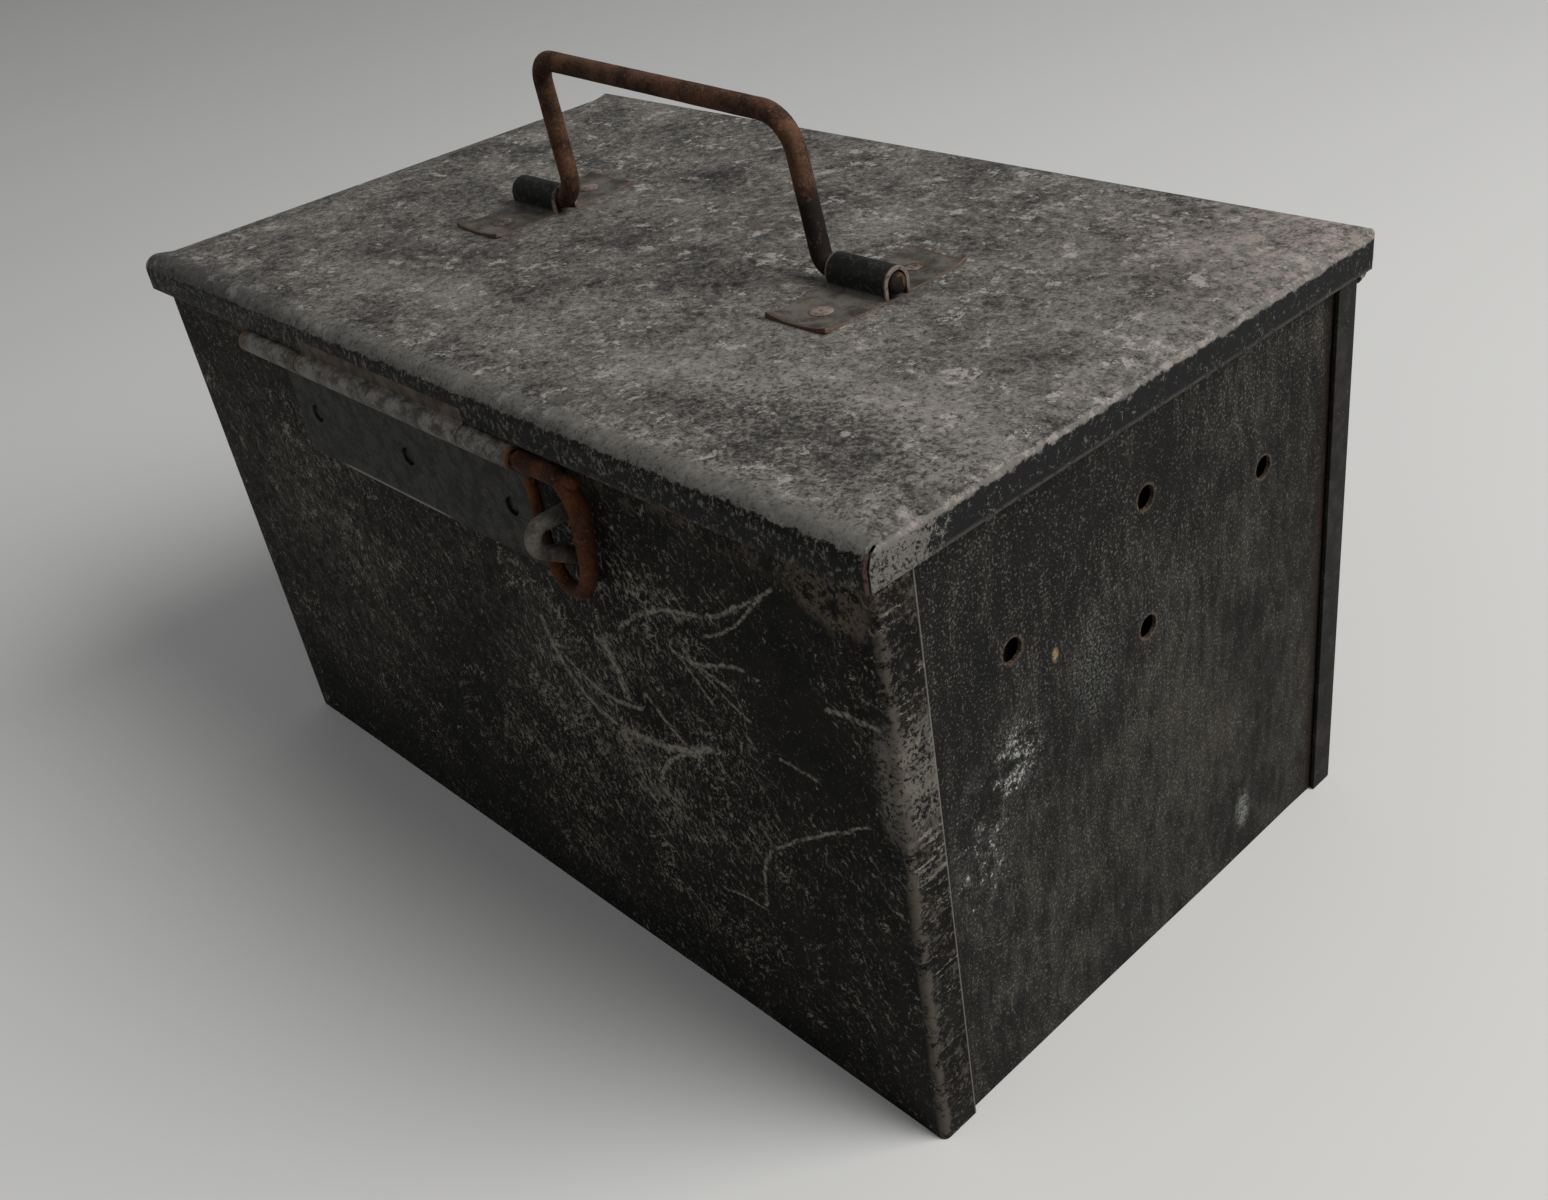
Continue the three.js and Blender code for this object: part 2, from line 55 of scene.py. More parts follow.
# A socket that takes part in sums. Alone, it stands for the tree it belongs to.
class Signal:
    def __init__(self, tree, socket=None):
        self.tree = tree
        self.socket = socket

    def node(self, kind, settings=None, inputs=None, output=0):
        made = self.tree.nodes.new("ShaderNode" + kind)
        for name, value in (settings or {}).items():
            setattr(made, name, value)
        for name, value in (inputs or {}).items():
            if isinstance(value, Signal):
                self.tree.links.new(value.socket, made.inputs[name])
            else:
                made.inputs[name].default_value = value
        return None if output is None else Signal(self.tree, made.outputs[output])

    def math(self, operation, *values):
        return self.node("Math", {"operation": operation}, dict(enumerate(values)))

    def __add__(self, other):
        return self.math("ADD", self, other)

    __radd__ = __add__

    def __sub__(self, other):
        return self.math("SUBTRACT", self, other)

    def __rsub__(self, other):
        return self.math("SUBTRACT", other, self)

    def __mul__(self, other):
        return self.math("MULTIPLY", self, other)

    __rmul__ = __mul__

    def __truediv__(self, other):
        return self.math("DIVIDE", self, other)

    def __rtruediv__(self, other):
        return self.math("DIVIDE", other, self)

    def __or__(self, other):  # the greater of two masks
        return self.math("MAXIMUM", self, other)

    def __abs__(self):
        return self.math("ABSOLUTE", self)

    def between(self, low, high):  # 0 at low, 1 at high, eased
        return self.node(
            "MapRange",
            {"interpolation_type": "SMOOTHSTEP"},
            {"Value": self, "From Min": low, "From Max": high},
        )

    def mix(self, first, second, blend="MIX"):  # this mask picks between two colours
        settings = {"data_type": "RGBA", "blend_type": blend}
        return self.node("Mix", settings, {0: self, 6: first, 7: second}, 2)

    def vector(self, operation, *values, output=0):
        return self.node("VectorMath", {"operation": operation}, dict(enumerate(values)), output)

    def dot(self, direction):
        return self.vector("DOT_PRODUCT", self, tuple(direction), output=1)

    def split(self):
        first = self.node("SeparateXYZ", {}, {0: self})
        return [Signal(self.tree, socket) for socket in first.socket.node.outputs]


def cloud(place, size, detail=2, rough=0.5, bend=0.0):  # soft noise whose lumps are about size
    inputs = {"Vector": place, "Scale": 1 / size, "Detail": detail, "Roughness": rough, "Distortion": bend}
    return place.node("TexNoise", {}, inputs)


def stretched(place, sizes, turn=(0, 0, 0), shift=(0, 0, 0)):
    inputs = {"Vector": place, "Location": shift, "Rotation": turn, "Scale": sizes}
    return place.node("Mapping", {"vector_type": "POINT"}, inputs)


def wandering(place, amount, size):  # the place, pushed about a little
    push = place.node("TexNoise", {}, {"Vector": place, "Scale": 1 / size, "Detail": 2}, 1)
    centred = place.vector("SUBTRACT", push, (0.5, 0.5, 0.5))
    return place.vector("MULTIPLY_ADD", centred, (2 * amount,) * 3, place)


def onPlane(place, face):  # flattens a place onto the plane across face, as (u, v, 0)
    x, y, z = place.split()
    pair = {"x": (y, z), "y": (x, z), "z": (x, y)}[face]
    return place.node("CombineXYZ", {}, {0: pair[0], 1: pair[1]})


# Noise drawn out along one direction of a face, as rubbing leaves it.
def drawnOut(flat, angle, width, length, detail=3, rough=0.6, shift=0.0):
    inputs = {"Vector": flat, "Angle": -math.radians(angle)}
    turned = flat.node("VectorRotate", {"rotation_type": "Z_AXIS"}, inputs)
    squeezed = stretched(turned, (width / length, 1, 1), shift=(shift, shift, shift))
    return cloud(squeezed, width, detail, rough)


# Short strokes scattered one to a cell, each turned its own way.
def strokes(flat, cell, length, width, share, lean=0.0, spread=math.pi, shift=0.0):
    moved = stretched(flat, (1, 1, 1), shift=(shift, shift * 0.7, 0))
    settings = {"voronoi_dimensions": "2D", "feature": "F1"}
    cells = moved.node("TexVoronoi", settings, {"Vector": moved, "Scale": 1 / cell})
    colour = Signal(flat.tree, cells.socket.node.outputs[1])
    centre = Signal(flat.tree, cells.socket.node.outputs[2])
    chance, turn, size = colour.split()
    local = flat.vector("SUBTRACT", moved, centre)
    angle = (turn - 0.5) * spread + lean
    turned = flat.node("VectorRotate", {"rotation_type": "Z_AXIS"}, {"Vector": local, "Angle": angle})
    along, across, _ = turned.split()
    reach = (size + 0.5) * length
    inLength = (abs(along) / reach).between(1, 0.6)
    inWidth = abs(across).between(width, width * 0.35)
    return inLength * inWidth * chance.between(1 - share - 0.02, 1 - share)


# One long line from start to end, bowed to its side.
def scratch(place, face, start, end, bow=0.0, width=0.5 * mm):
    lift = {"y": lambda p: Vector((p[0], 0, p[1])), "z": lambda p: Vector((p[0], p[1], 0)),
            "x": lambda p: Vector((0, p[0], p[1]))}[face]
    first, last = lift(start) * mm, lift(end) * mm
    way = last - first
    side = way.cross({"x": xAxis, "y": yAxis, "z": zAxis}[face]).normalized()
    fromFirst = place.vector("SUBTRACT", place, tuple(first))
    along = fromFirst.dot(way / way.length_squared)
    across = fromFirst.dot(side)
    miss = abs(across - along * (1 - along) * (4 * bow * mm))
    return miss.between(width * 1.5, width * 0.4) * abs(along - 0.5).between(0.5, 0.44)


# A soft spot round a point, with its own reach along each axis.
def spot(place, centre, reach):
    scaled = stretched(place, [1 / (r * mm) for r in reach],
                       shift=[-c / r for c, r in zip(centre, reach)])
    return place.vector("LENGTH", scaled, output=1).between(1, 0.25)


def newFinish(name, recipe, metallic=0.0):
    material = bpy.data.materials.new(name)
    material.use_nodes = True
    tree = material.node_tree
    tree.nodes.clear()
    start = Signal(tree)
    place = start.node("TexCoord", {}, {}, "Object")
    made = recipe(place)
    inputs = {"Base Color": made["colour"], "Roughness": made["roughness"],
              "Metallic": made.get("metallic", metallic), "Specular IOR Level": made.get("gloss", 0.18)}
    if "height" in made:
        bump = {"Height": made["height"], "Strength": made.get("strength", 0.5), "Distance": made["depth"]}
        inputs["Normal"] = start.node("Bump", {}, bump)
    shader = start.node("BsdfPrincipled", {}, inputs)
    start.node("OutputMaterial", {}, {"Surface": shader}, None)
    return material


def rgb(red, green, blue):
    return (red, green, blue, 1)


frontWear = [  # centre and reach in mm, and how much more the paint is chipped there
    ((62, -91, 105), (75, 60, 62), 0.45), ((40, -91, 55), (95, 60, 50), 0.35),
    ((-95, -91, 105), (80, 60, 60), 0.3), ((130, -91, 118), (22, 60, 26), -0.5),
]


def frontPaint(place):
    x, y, z = place.split()
    bent = wandering(place, 1.2 * mm, 9 * mm)
    rough = wandering(bent, 0.5 * mm, 1.3 * mm)
    flat = onPlane(rough, "y")
    # how densely the paint is chipped
    wear = (cloud(place, 30 * mm, 5, 0.7) - 0.5) * 1.9
    for centre, reach, more in frontWear:
        wear = wear + spot(place, centre, reach) * more
    wear = wear - z.between(0.035, 0.0) * 0.15
    fine = cloud(rough, 1.1 * mm, 4, 0.75)
    falling = drawnOut(flat, -50, 1.7 * mm, 4.2 * mm, 5, 0.8)
    rising = drawnOut(flat, 40, 1.5 * mm, 3.4 * mm, 5, 0.8, 0.4)
    steep = drawnOut(flat, 84, 1.5 * mm, 3.0 * mm, 5, 0.8, 0.9)
    share = cloud(place, 20 * mm, 2)
    grain = falling * share.between(0.66, 0.42) | rising * share.between(0.42, 0.62) | steep * 0.96
    flecks = (grain + wear * 0.095 + (fine - 0.5) * 0.35).between(0.572, 0.605)
    specks = (fine + wear * 0.05).between(0.60, 0.64) * 0.6
    longer = strokes(flat, 8 * mm, 5 * mm, 0.3 * mm, 0.85, 0.9, 1.4)
    broken = cloud(rough, 0.8 * mm, 3, 0.7).between(0.40, 0.56)
    flecks = flecks | specks | longer * (wear + 0.5).between(0.35, 0.8) * broken * 0.85
    marks = None
    jagged = wandering(rough, 0.5 * mm, 2.2 * mm)
    for mark in frontMarks:
        line = scratch(jagged, "y", *mark)
        marks = line if marks is None else marks | line
    scored = marks * (cloud(rough, 1.6 * mm, 4, 0.75).between(0.42, 0.58) * 0.75 + 0.1)
    bare = flecks * 0.85 | scored
    # a haze of rubbed dust, flaked paint beside the corner, a tan bloom under the rim
    hazeArea = spot(place, (-110, -91, 95), (95, 60, 85)) | spot(place, (-5, -91, 110), (70, 60, 45)) * 0.7
    haze = hazeArea * (cloud(rough, 4 * mm, 5, 0.7) + wear * 0.12).between(0.42, 0.66)
    flaky = (fine + cloud(place, 9 * mm, 3) * 0.35).between(0.60, 0.68)
    flaky = flaky * x.between(wallX - 8.5 * mm, wallX - 3.5 * mm)
    flaky = flaky * z.between(0.095, 0.108) * z.between(0.135, 0.125)
    loose = wandering(place, 5 * mm, 9 * mm)
    bloomMass = cloud(rough, 6 * mm, 4, 0.7) * 0.7 + fine * 0.4
    bloom = spot(loose, (147, -91, 161), (15, 60, 14)).between(0.1, 0.7)
    bloom = bloom * bloomMass.between(0.49, 0.54)
    under = z.between(0.152, 0.168) * (cloud(rough, 6 * mm, 5, 0.75) * 0.8 + fine * 0.5).between(0.64, 0.74)
    tan = bloom | under * 0.75
    paint = cloud(place, 12 * mm, 4, 0.65).between(0.35, 0.65)
    paint = paint.mix(rgb(0.0028, 0.0026, 0.0024), rgb(0.0085, 0.0078, 0.0066))
    colour = (haze * 0.75).mix(paint, rgb(0.048, 0.044, 0.038))
    metal = cloud(place, 5 * mm, 4, 0.7).between(0.35, 0.65)
    metal = metal.mix(rgb(0.085, 0.078, 0.064), rgb(0.235, 0.212, 0.172))
    colour = bare.mix(colour, metal)
    colour = (scored * 0.7).mix(colour, rgb(0.225, 0.205, 0.168))
    colour = (flaky * 0.8).mix(colour, rgb(0.135, 0.125, 0.105))
    colour = (tan * 0.8 * fine.between(0.36, 0.5)).mix(colour, rgb(0.088, 0.068, 0.050))
    # the upright bends are worn in a narrow band; the strips round the ends stay mostly black
    wornAndHighlit = cloud(rough, 4 * mm, 5, 0.7) * 0.7 + fine * 0.4
    bend = abs(x).between(wallX - 2.8 * mm, wallX - 1.0 * mm) * wornAndHighlit.between(0.47, 0.60)
    bend = bend * y.between(3.0 * mm - wallY, 1.0 * mm - wallY)
    onStrip = abs(x).between(wallX - 0.8 * mm, wallX - 0.3 * mm)
    stripWorn = wornAndHighlit + y.between(4.5 * mm - wallY, 0.5 * mm - wallY) * 0.10
    strip = onStrip * stripWorn.between(0.57, 0.66)
    lip = onStrip * y.between(frontHigh.y - 0.7 * mm, frontHigh.y - 0.3 * mm)
    colour = (strip * 0.75).mix(colour, rgb(0.060, 0.053, 0.044))
    colour = (bend * 0.8).mix(colour, rgb(0.082, 0.070, 0.056))
    colour = (lip * 0.7).mix(colour, rgb(0.15, 0.14, 0.125))
    return {
        "colour": colour,
        "roughness": 0.6 - bare * 0.05 + fine * 0.15 - bend * 0.08,
        "metallic": bare * 0.15 | bend * 0.3,
        "height": fine * 0.4 - bare * 0.65,
        "depth": 0.14 * mm,
        "gloss": 0.08,
    }


frontMarks = [  # start, end, bow, width: in mm, as (x, z)
    ((25, 112), (52, 84), -7, 0.0011), ((52, 84), (95, 97), -3, 0.0012),
    ((31, 101), (66, 97), -5, 0.0007), ((53, 114), (60, 96), 1, 0.0014),
    ((62, 119), (101, 138), 4, 0.0006), ((101, 138), (128, 156), -1, 0.0005),
    ((91, 121), (113, 128), 0.5, 0.0005), ((86, 122), (107, 119), 1, 0.0006),
    ((84, 124), (98, 110), 1, 0.0005), ((88, 126), (112, 112), -1, 0.0005),
    ((67, 103), (88, 89), -1, 0.0006), ((103, 47), (110, 72), 2, 0.0005),
    ((110, 72), (150, 100), 1, 0.0004), ((65, 69), (90, 91), 5, 0.0006),
    ((84, 44), (104, 47), 1, 0.0004), ((-70, 135), (-13, 134), 0.4, 0.0009),
    ((138, 128), (157, 131), 0.6, 0.0007), ((98, 131), (126, 155), -2, 0.0004),
    ((120, 105), (134, 105), 0.5, 0.0005),
]


def plainPaint(place, wear=0.0):  # the back, the bottom, the inside and the rear hinge
    rough = wandering(place, 0.5 * mm, 3 * mm)
    fine = cloud(rough, 1.0 * mm, 4, 0.7)
    broad = cloud(place, 40 * mm, 3, 0.6)
    chips = (fine + broad * 0.2 + wear).between(0.74, 0.79)
    dust = (cloud(rough, 6 * mm, 4, 0.65) + broad * 0.3).between(0.6, 0.85)
    paint = cloud(place, 16 * mm, 3).mix(rgb(0.0055, 0.0055, 0.0052), rgb(0.013, 0.0125, 0.0115))
    colour = (dust * 0.5).mix(paint, rgb(0.035, 0.033, 0.029))
    colour = chips.mix(colour, rgb(0.11, 0.105, 0.09))
    return {"colour": colour, "roughness": 0.6 + fine * 0.15, "metallic": chips * 0.2,
            "height": fine * 0.35 - chips * 0.6, "depth": 0.1 * mm, "gloss": 0.12}


def endPaint(place):
    _, y, z = place.split()
    rough = wandering(place, 0.5 * mm, 3 * mm)
    fine = cloud(rough, 0.75 * mm, 4, 0.7)
    streaky = cloud(stretched(rough, (1, 1, 0.3)), 3.5 * mm, 5, 0.7)
    broad = cloud(place, 34 * mm, 4, 0.6)
    base = cloud(place, 18 * mm, 3).mix(rgb(0.0035, 0.0035, 0.0036), rgb(0.0090, 0.0086, 0.0078))
    lower = z.between(0.165, 0.06) * 0.10
    dust = (streaky * 0.6 + fine * 0.5 + (broad - 0.5) * 0.5 + y * 0.5 + lower).between(0.50, 0.78)
    colour = (dust * 0.65).mix(base, rgb(0.042, 0.038, 0.032))
    dots = (fine + broad * 0.14 + (streaky - 0.5) * 0.2).between(0.64, 0.69)
    colour = (dots * 0.6).mix(colour, rgb(0.13, 0.122, 0.105))
    # white paint spattered near the front edge, most of it in two loose groups
    lumps = cloud(rough, 1.3 * mm, 5, 0.78)
    coarse = cloud(rough, 5 * mm, 4, 0.7)
    area = spot(place, (158, -52, 98), (30, 16, 18)) | spot(place, (158, -66, 80), (30, 17, 32)) * 0.8
    area = area * coarse.between(0.36, 0.62)
    splash = (lumps + area * 0.20).between(0.69, 0.75)
    colour = (splash * area.between(0.0, 0.25)).mix(colour, rgb(0.34, 0.34, 0.32))
    film = area * (fine * 0.6 + coarse * 0.4).between(0.4, 0.62) * 0.45
    colour = film.mix(colour, rgb(0.12, 0.12, 0.115))
    smear = spot(place, (158, 44, 17), (9, 5, 9)) * coarse.between(0.4, 0.56) * fine.between(0.32, 0.6)
    smear = smear | spot(place, (158, -22, 106), (12, 14, 22)) * fine.between(0.42, 0.7) * 0.45
    colour = (smear * 0.8).mix(colour, rgb(0.20, 0.205, 0.19))
    ochre = spot(place, (158, -36, 119), (9, 1.6, 2.6)) * fine.between(0.35, 0.5)
    colour = ochre.mix(colour, rgb(0.24, 0.17, 0.09))
    # a dark line in the gaps beside the wrapped strips' edges: rust, and painted shade
    gapRustAndShade = abs(y).between(0.0755, 0.0802) * streaky.between(0.3, 0.5)
    colour = (gapRustAndShade * 0.75).mix(colour, rgb(0.012, 0.007, 0.005))
    flat = onPlane(place, "x")
    for hole in endHoles:
        away = flat.vector("DISTANCE", flat, (hole[0] * mm, hole[1] * mm, 0), output=1)
        rim = away.between(4.4 * mm, 3.3 * mm) * fine.between(0.35, 0.55)
        colour = (rim * 0.55).mix(colour, rgb(0.115, 0.08, 0.05))
    return {"colour": colour, "roughness": 0.55 + fine * 0.15 + dust * 0.08, "metallic": dots * 0.15,
            "height": fine * 0.35 + dust * 0.2 + splash * 0.8, "depth": 0.1 * mm, "gloss": 0.08}


endHoles = [(0, 143.7), (0, 106.8), (-50.5, 128.5), (50.5, 128.5)]  # y, z in mm


def lidPaint(place):
    x, y, z = place.split()
    rough = wandering(place, 0.6 * mm, 3 * mm)
    fine = cloud(rough, 0.9 * mm, 5, 0.8)
    mid = cloud(rough, 3.2 * mm, 6, 0.75)
    broad = cloud(place, 26 * mm, 5, 0.65)
    tone = mid * 0.8 + broad * 0.6 + fine * 0.8
    tone = tone + spot(place, (95, -48, 177), (75, 34, 60)) * 0.09
    tone = tone + spot(place, (-30, -62, 177), (130, 16, 60)) * 0.07
    tone = tone + x.between(0.05, 0.16) * 0.05
    colour = tone.between(0.88, 1.36).mix(rgb(0.016, 0.0156, 0.0155), rgb(0.215, 0.200, 0.180))
    # the paint has crazed most where the front edge meets the right end
    crazed = spot(place, (118, -68, 177), (60, 30, 60)) * 0.075 + y.between(0.06, -0.09) * 0.015
    crackle = (cloud(rough, 1.5 * mm, 5, 0.8) + crazed).between(0.565, 0.60)
    colour = (crackle * 0.75).mix(colour, rgb(0.014, 0.0138, 0.0145))
    pale = (mid * 0.7 + fine * 0.45 + (broad - 0.5) * 0.2).between(0.66, 0.72)
    colour = (pale * 0.75).mix(colour, rgb(0.32, 0.30, 0.275))
    spots = cloud(rough, 7 * mm, 5, 0.72).between(0.595, 0.62) * fine.between(0.36, 0.5)
    scuffs = cloud(rough, 11 * mm, 5, 0.7, 0.6).between(0.59, 0.66) * mid.between(0.4, 0.6)
    colour = ((spots | scuffs * 0.5) * 0.7).mix(colour, rgb(0.37, 0.345, 0.315))
    scorched = cloud(place, 15 * mm, 5, 0.72).between(0.57, 0.66) * mid.between(0.35, 0.55)
    colour = (scorched * 0.6).mix(colour, rgb(0.026, 0.025, 0.025))
    farRight = x.between(0.085, 0.155) * y.between(0.01, 0.08)
    pink = farRight * cloud(rough, 4 * mm, 5, 0.75).between(0.47, 0.60)
    colour = (pink * 0.6).mix(colour, rgb(0.34, 0.275, 0.25))
    stain = spot(place, (8, 21, 177), (10, 6, 60)) * mid.between(0.3, 0.6) * 0.7
    for side in (-1, 1):  # rust creeps out from under the straps
        stain = stain | spot(place, (side * 71.5, 0, 177), (17, 34, 60)) * mid.between(0.34, 0.52) * 0.9
    colour = stain.mix(colour, rgb(0.062, 0.046, 0.033))
    # the front bend is rubbed smooth and painted paler, darker towards the left end: worn paint, and a
    # painted highlight along its round; the face under it stays black and speckled
    ragged = (cloud(rough, 4.5 * mm, 6, 0.78) - 0.5) * 6 * mm
    bend = (y + ragged * 0.9).between(-0.0878, -0.0905) * (fine + 0.1).between(0.48, 0.66)
    rubbedAndHighlit = cloud(place, 22 * mm, 3).mix(rgb(0.080, 0.081, 0.080), rgb(0.150, 0.142, 0.126))
    rubbedAndHighlit = x.between(-0.04, -0.14).mix(rubbedAndHighlit, rgb(0.048, 0.047, 0.046))
    colour = (bend * 0.8).mix(colour, rubbedAndHighlit)
    face = (z + ragged * 0.75 - x * 0.004).between(0.1764, 0.1760) * y.between(-0.0918, -0.0926)
    black = cloud(place, 10 * mm, 3).mix(rgb(0.0025, 0.0025, 0.0024), rgb(0.0065, 0.0060, 0.0055))
    flecks = (cloud(stretched(rough, (1, 1, 0.7)), 1.3 * mm, 5, 0.8) + broad * 0.08).between(0.585, 0.62)
    lowTan = z.between(0.1702, 0.1686) * mid.between(0.4, 0.6) * 0.6
    chipped = flecks.mix(black, rgb(0.115, 0.106, 0.088))
    chipped = lowTan.mix(chipped, rgb(0.070, 0.060, 0.046))
    colour = face.mix(colour, chipped)
    # the end flanges: pale worn top edge, dark ragged paint below
    side = abs(x).between(lidHigh.x - 0.9 * mm, lidHigh.x - 0.5 * mm)
    nearCorner = (y + ragged * 1.3).between(-0.066, -0.082)
    broken = fine * 0.6 + mid * 0.4 - nearCorner * 0.10
    low = (z + ragged * 1.1).between(0.1766, 0.1760) * broken.between(0.40, 0.44)
    lowest = z.between(0.1697, 0.1689) * mid.between(0.35, 0.55) * 0.5
    bare = mid.mix(rgb(0.075, 0.069, 0.062), rgb(0.18, 0.168, 0.15))
    sidePaint = low.mix(bare, rgb(0.0048, 0.0048, 0.0050))
    sidePaint = lowest.mix(sidePaint, rgb(0.075, 0.066, 0.057))
    colour = side.mix(colour, sidePaint)
    edge = abs(x).between(lidHigh.x - 1.5 * mm, lidHigh.x - 1.0 * mm)
    edge = edge * z.between(lidHigh.z - 1.5 * mm, lidHigh.z - 0.8 * mm)
    colour = (edge * mid.between(0.48, 0.58) * 0.6).mix(colour, rgb(0.30, 0.262, 0.24))
    seam = x.between(0.1617, 0.1620) * x.between(0.1625, 0.1623) * y.between(-0.0925, -0.0932)
    colour = (seam * 0.8).mix(colour, rgb(0.022, 0.006, 0.005))
    return {"colour": colour, "roughness": 0.6 + fine * 0.12 - bend * 0.12, "metallic": bend * 0.25,
            "height": fine * 0.5 + mid * 0.5 - crackle * 0.35, "depth": 0.16 * mm, "gloss": 0.14}


def rust(place, dark=rgb(0.05, 0.02, 0.012), warm=rgb(0.17, 0.065, 0.03)):
    rough = wandering(place, 0.4 * mm, 2 * mm)
    fine = cloud(rough, 0.8 * mm, 5, 0.7)
    broad = cloud(place, 9 * mm, 3, 0.6)
    colour = (broad * 0.6 + fine * 0.5).between(0.42, 0.68).mix(dark, warm)
    colour = (cloud(rough, 1.7 * mm, 4, 0.7).between(0.6, 0.7) * 0.5).mix(colour, rgb(0.26, 0.13, 0.07))
    return {"colour": colour, "roughness": 0.72 + fine * 0.15, "metallic": broad * 0.15,
            "height": fine, "depth": 0.18 * mm}


def handleRust(place):
    x, _, z = place.split()
    made = rust(place, rgb(0.022, 0.011, 0.007), rgb(0.105, 0.050, 0.028))
    left = cloud(wandering(place, 0.5 * mm, 3 * mm), 4 * mm, 4, 0.65)
    paint = x.between(0.045, 0.05) * (z + left * 0.014).between(0.213, 0.206) * left.between(0.38, 0.44)
    made["colour"] = (paint * 0.92).mix(made["colour"], rgb(0.0055, 0.0052, 0.0050))
    return made


def castRust(place):
    return rust(place, rgb(0.016, 0.0055, 0.0025), rgb(0.090, 0.027, 0.008))


def wornSteel(place, light=rgb(0.21, 0.20, 0.18), dark=rgb(0.05, 0.047, 0.042)):
    rough = wandering(place, 0.4 * mm, 2 * mm)
    fine = cloud(rough, 0.9 * mm, 4, 0.65)
    broad = cloud(place, 8 * mm, 3, 0.6)
    colour = (broad * 0.7 + fine * 0.4).between(0.42, 0.68).mix(dark, light)
    spots = cloud(rough, 2.2 * mm, 4, 0.7).between(0.6, 0.68)
    colour = (spots * 0.6).mix(colour, rgb(0.09, 0.045, 0.025))
    return {"colour": colour, "roughness": 0.5 + fine * 0.2, "metallic": 0.45 - broad * 0.3,
            "height": fine, "depth": 0.1 * mm}


def stapleSteel(place):
    made = wornSteel(place, rgb(0.15, 0.138, 0.118), rgb(0.05, 0.045, 0.037))
    # the ring below the nose is painted dark: rust, and painted shade under the nose
    rustAndShade = place.split()[2].between(0.146, 0.141) * cloud(place, 2.5 * mm, 4, 0.7).between(0.4, 0.55)
    made["colour"] = (rustAndShade * 0.8).mix(made["colour"], rgb(0.05, 0.022, 0.012))
    return made


def strapSteel(place):
    x, y, z = place.split()
    made = wornSteel(place, rgb(0.135, 0.122, 0.104), rgb(0.045, 0.041, 0.036))
    fine = cloud(place, 1.1 * mm, 4, 0.7)
    loop = (z + fine * 0.6 * mm).between(0.1800, 0.1812)
    scuffed = cloud(place, 2.2 * mm, 5, 0.75).between(0.52, 0.62)
    black = (scuffed * 0.6).mix(rgb(0.007, 0.0072, 0.0068), rgb(0.055, 0.056, 0.053))
    colour = (loop * 0.95).mix(made["colour"], black)
    ends = abs(abs(x) - 71.5 * mm).between(10.1 * mm, 10.9 * mm) * fine.between(0.35, 0.5)
    colour = (ends * 0.8).mix(colour, rgb(0.24, 0.20, 0.17))
    edges = abs(y).between(25.0 * mm, 26.4 * mm) | ends * (1 - loop)
    colour = (edges * 0.85 * fine.between(0.36, 0.5)).mix(colour, rgb(0.085, 0.048, 0.028))
    for way in (-17, 17):
        around = spot(place, (71.5, way, 179), (6, 6, 9)) | spot(place, (-71.5, way, 179), (6, 6, 9))
        colour = (around * 0.5 * fine.between(0.35, 0.6)).mix(colour, rgb(0.10, 0.055, 0.035))
    made["colour"] = colour
    return made


def rivetSteel(place):
    return wornSteel(place, rgb(0.25, 0.20, 0.175), rgb(0.06, 0.04, 0.03))


def latchPaint(place):
    x, y, z = place.split()
    rough = wandering(place, 0.5 * mm, 3 * mm)
    fine = cloud(rough, 0.9 * mm, 4, 0.65)
    mottle = cloud(rough, 5 * mm, 5, 0.7)
    paint = mottle.between(0.40, 0.60).mix(rgb(0.0065, 0.0063, 0.0058), rgb(0.0270, 0.0258, 0.0225))
    chips = (fine + x.between(0.0, 0.045) * 0.04 + (mottle - 0.5) * 0.2).between(0.655, 0.71)
    colour = (chips * 0.75).mix(paint, rgb(0.12, 0.112, 0.096))
    flat = onPlane(rough, "y")
    rubs = drawnOut(flat, -50, 1.6 * mm, 4.5 * mm, 5, 0.8).between(0.56, 0.62)
    colour = (rubs * 0.5).mix(colour, rgb(0.060, 0.057, 0.049))
    # the upper outer half of each barrel is painted pale: rubbed bare steel, and a painted highlight
    barrel = (y - fine * 0.7 * mm).between(-0.0945, -0.0952) * z.between(0.160, 0.1625)
    rubbedAndHighlit = (mottle * 0.7 + fine * 0.4).between(0.44, 0.66)
    colour = barrel.mix(colour, rubbedAndHighlit.mix(rgb(0.055, 0.052, 0.046), rgb(0.20, 0.19, 0.168)))
    lowEdge = z.between(0.1322, 0.1312) * x.between(-0.066, -0.06) * x.between(-0.004, -0.012)
    colour = (lowEdge * 0.8).mix(colour, rgb(0.26, 0.255, 0.235))
    ends = x.between(-0.0935, -0.0972) | abs(x - 0.042).between(0.0012, 0.0006)
    ends = ends | abs(x + 0.064).between(0.0009, 0.0004)
    colour = (ends * 0.75 * barrel).mix(colour, rgb(0.13, 0.055, 0.025))
    return {"colour": colour, "roughness": 0.55 + fine * 0.15, "metallic": barrel * 0.35,
            "height": fine, "depth": 0.08 * mm}


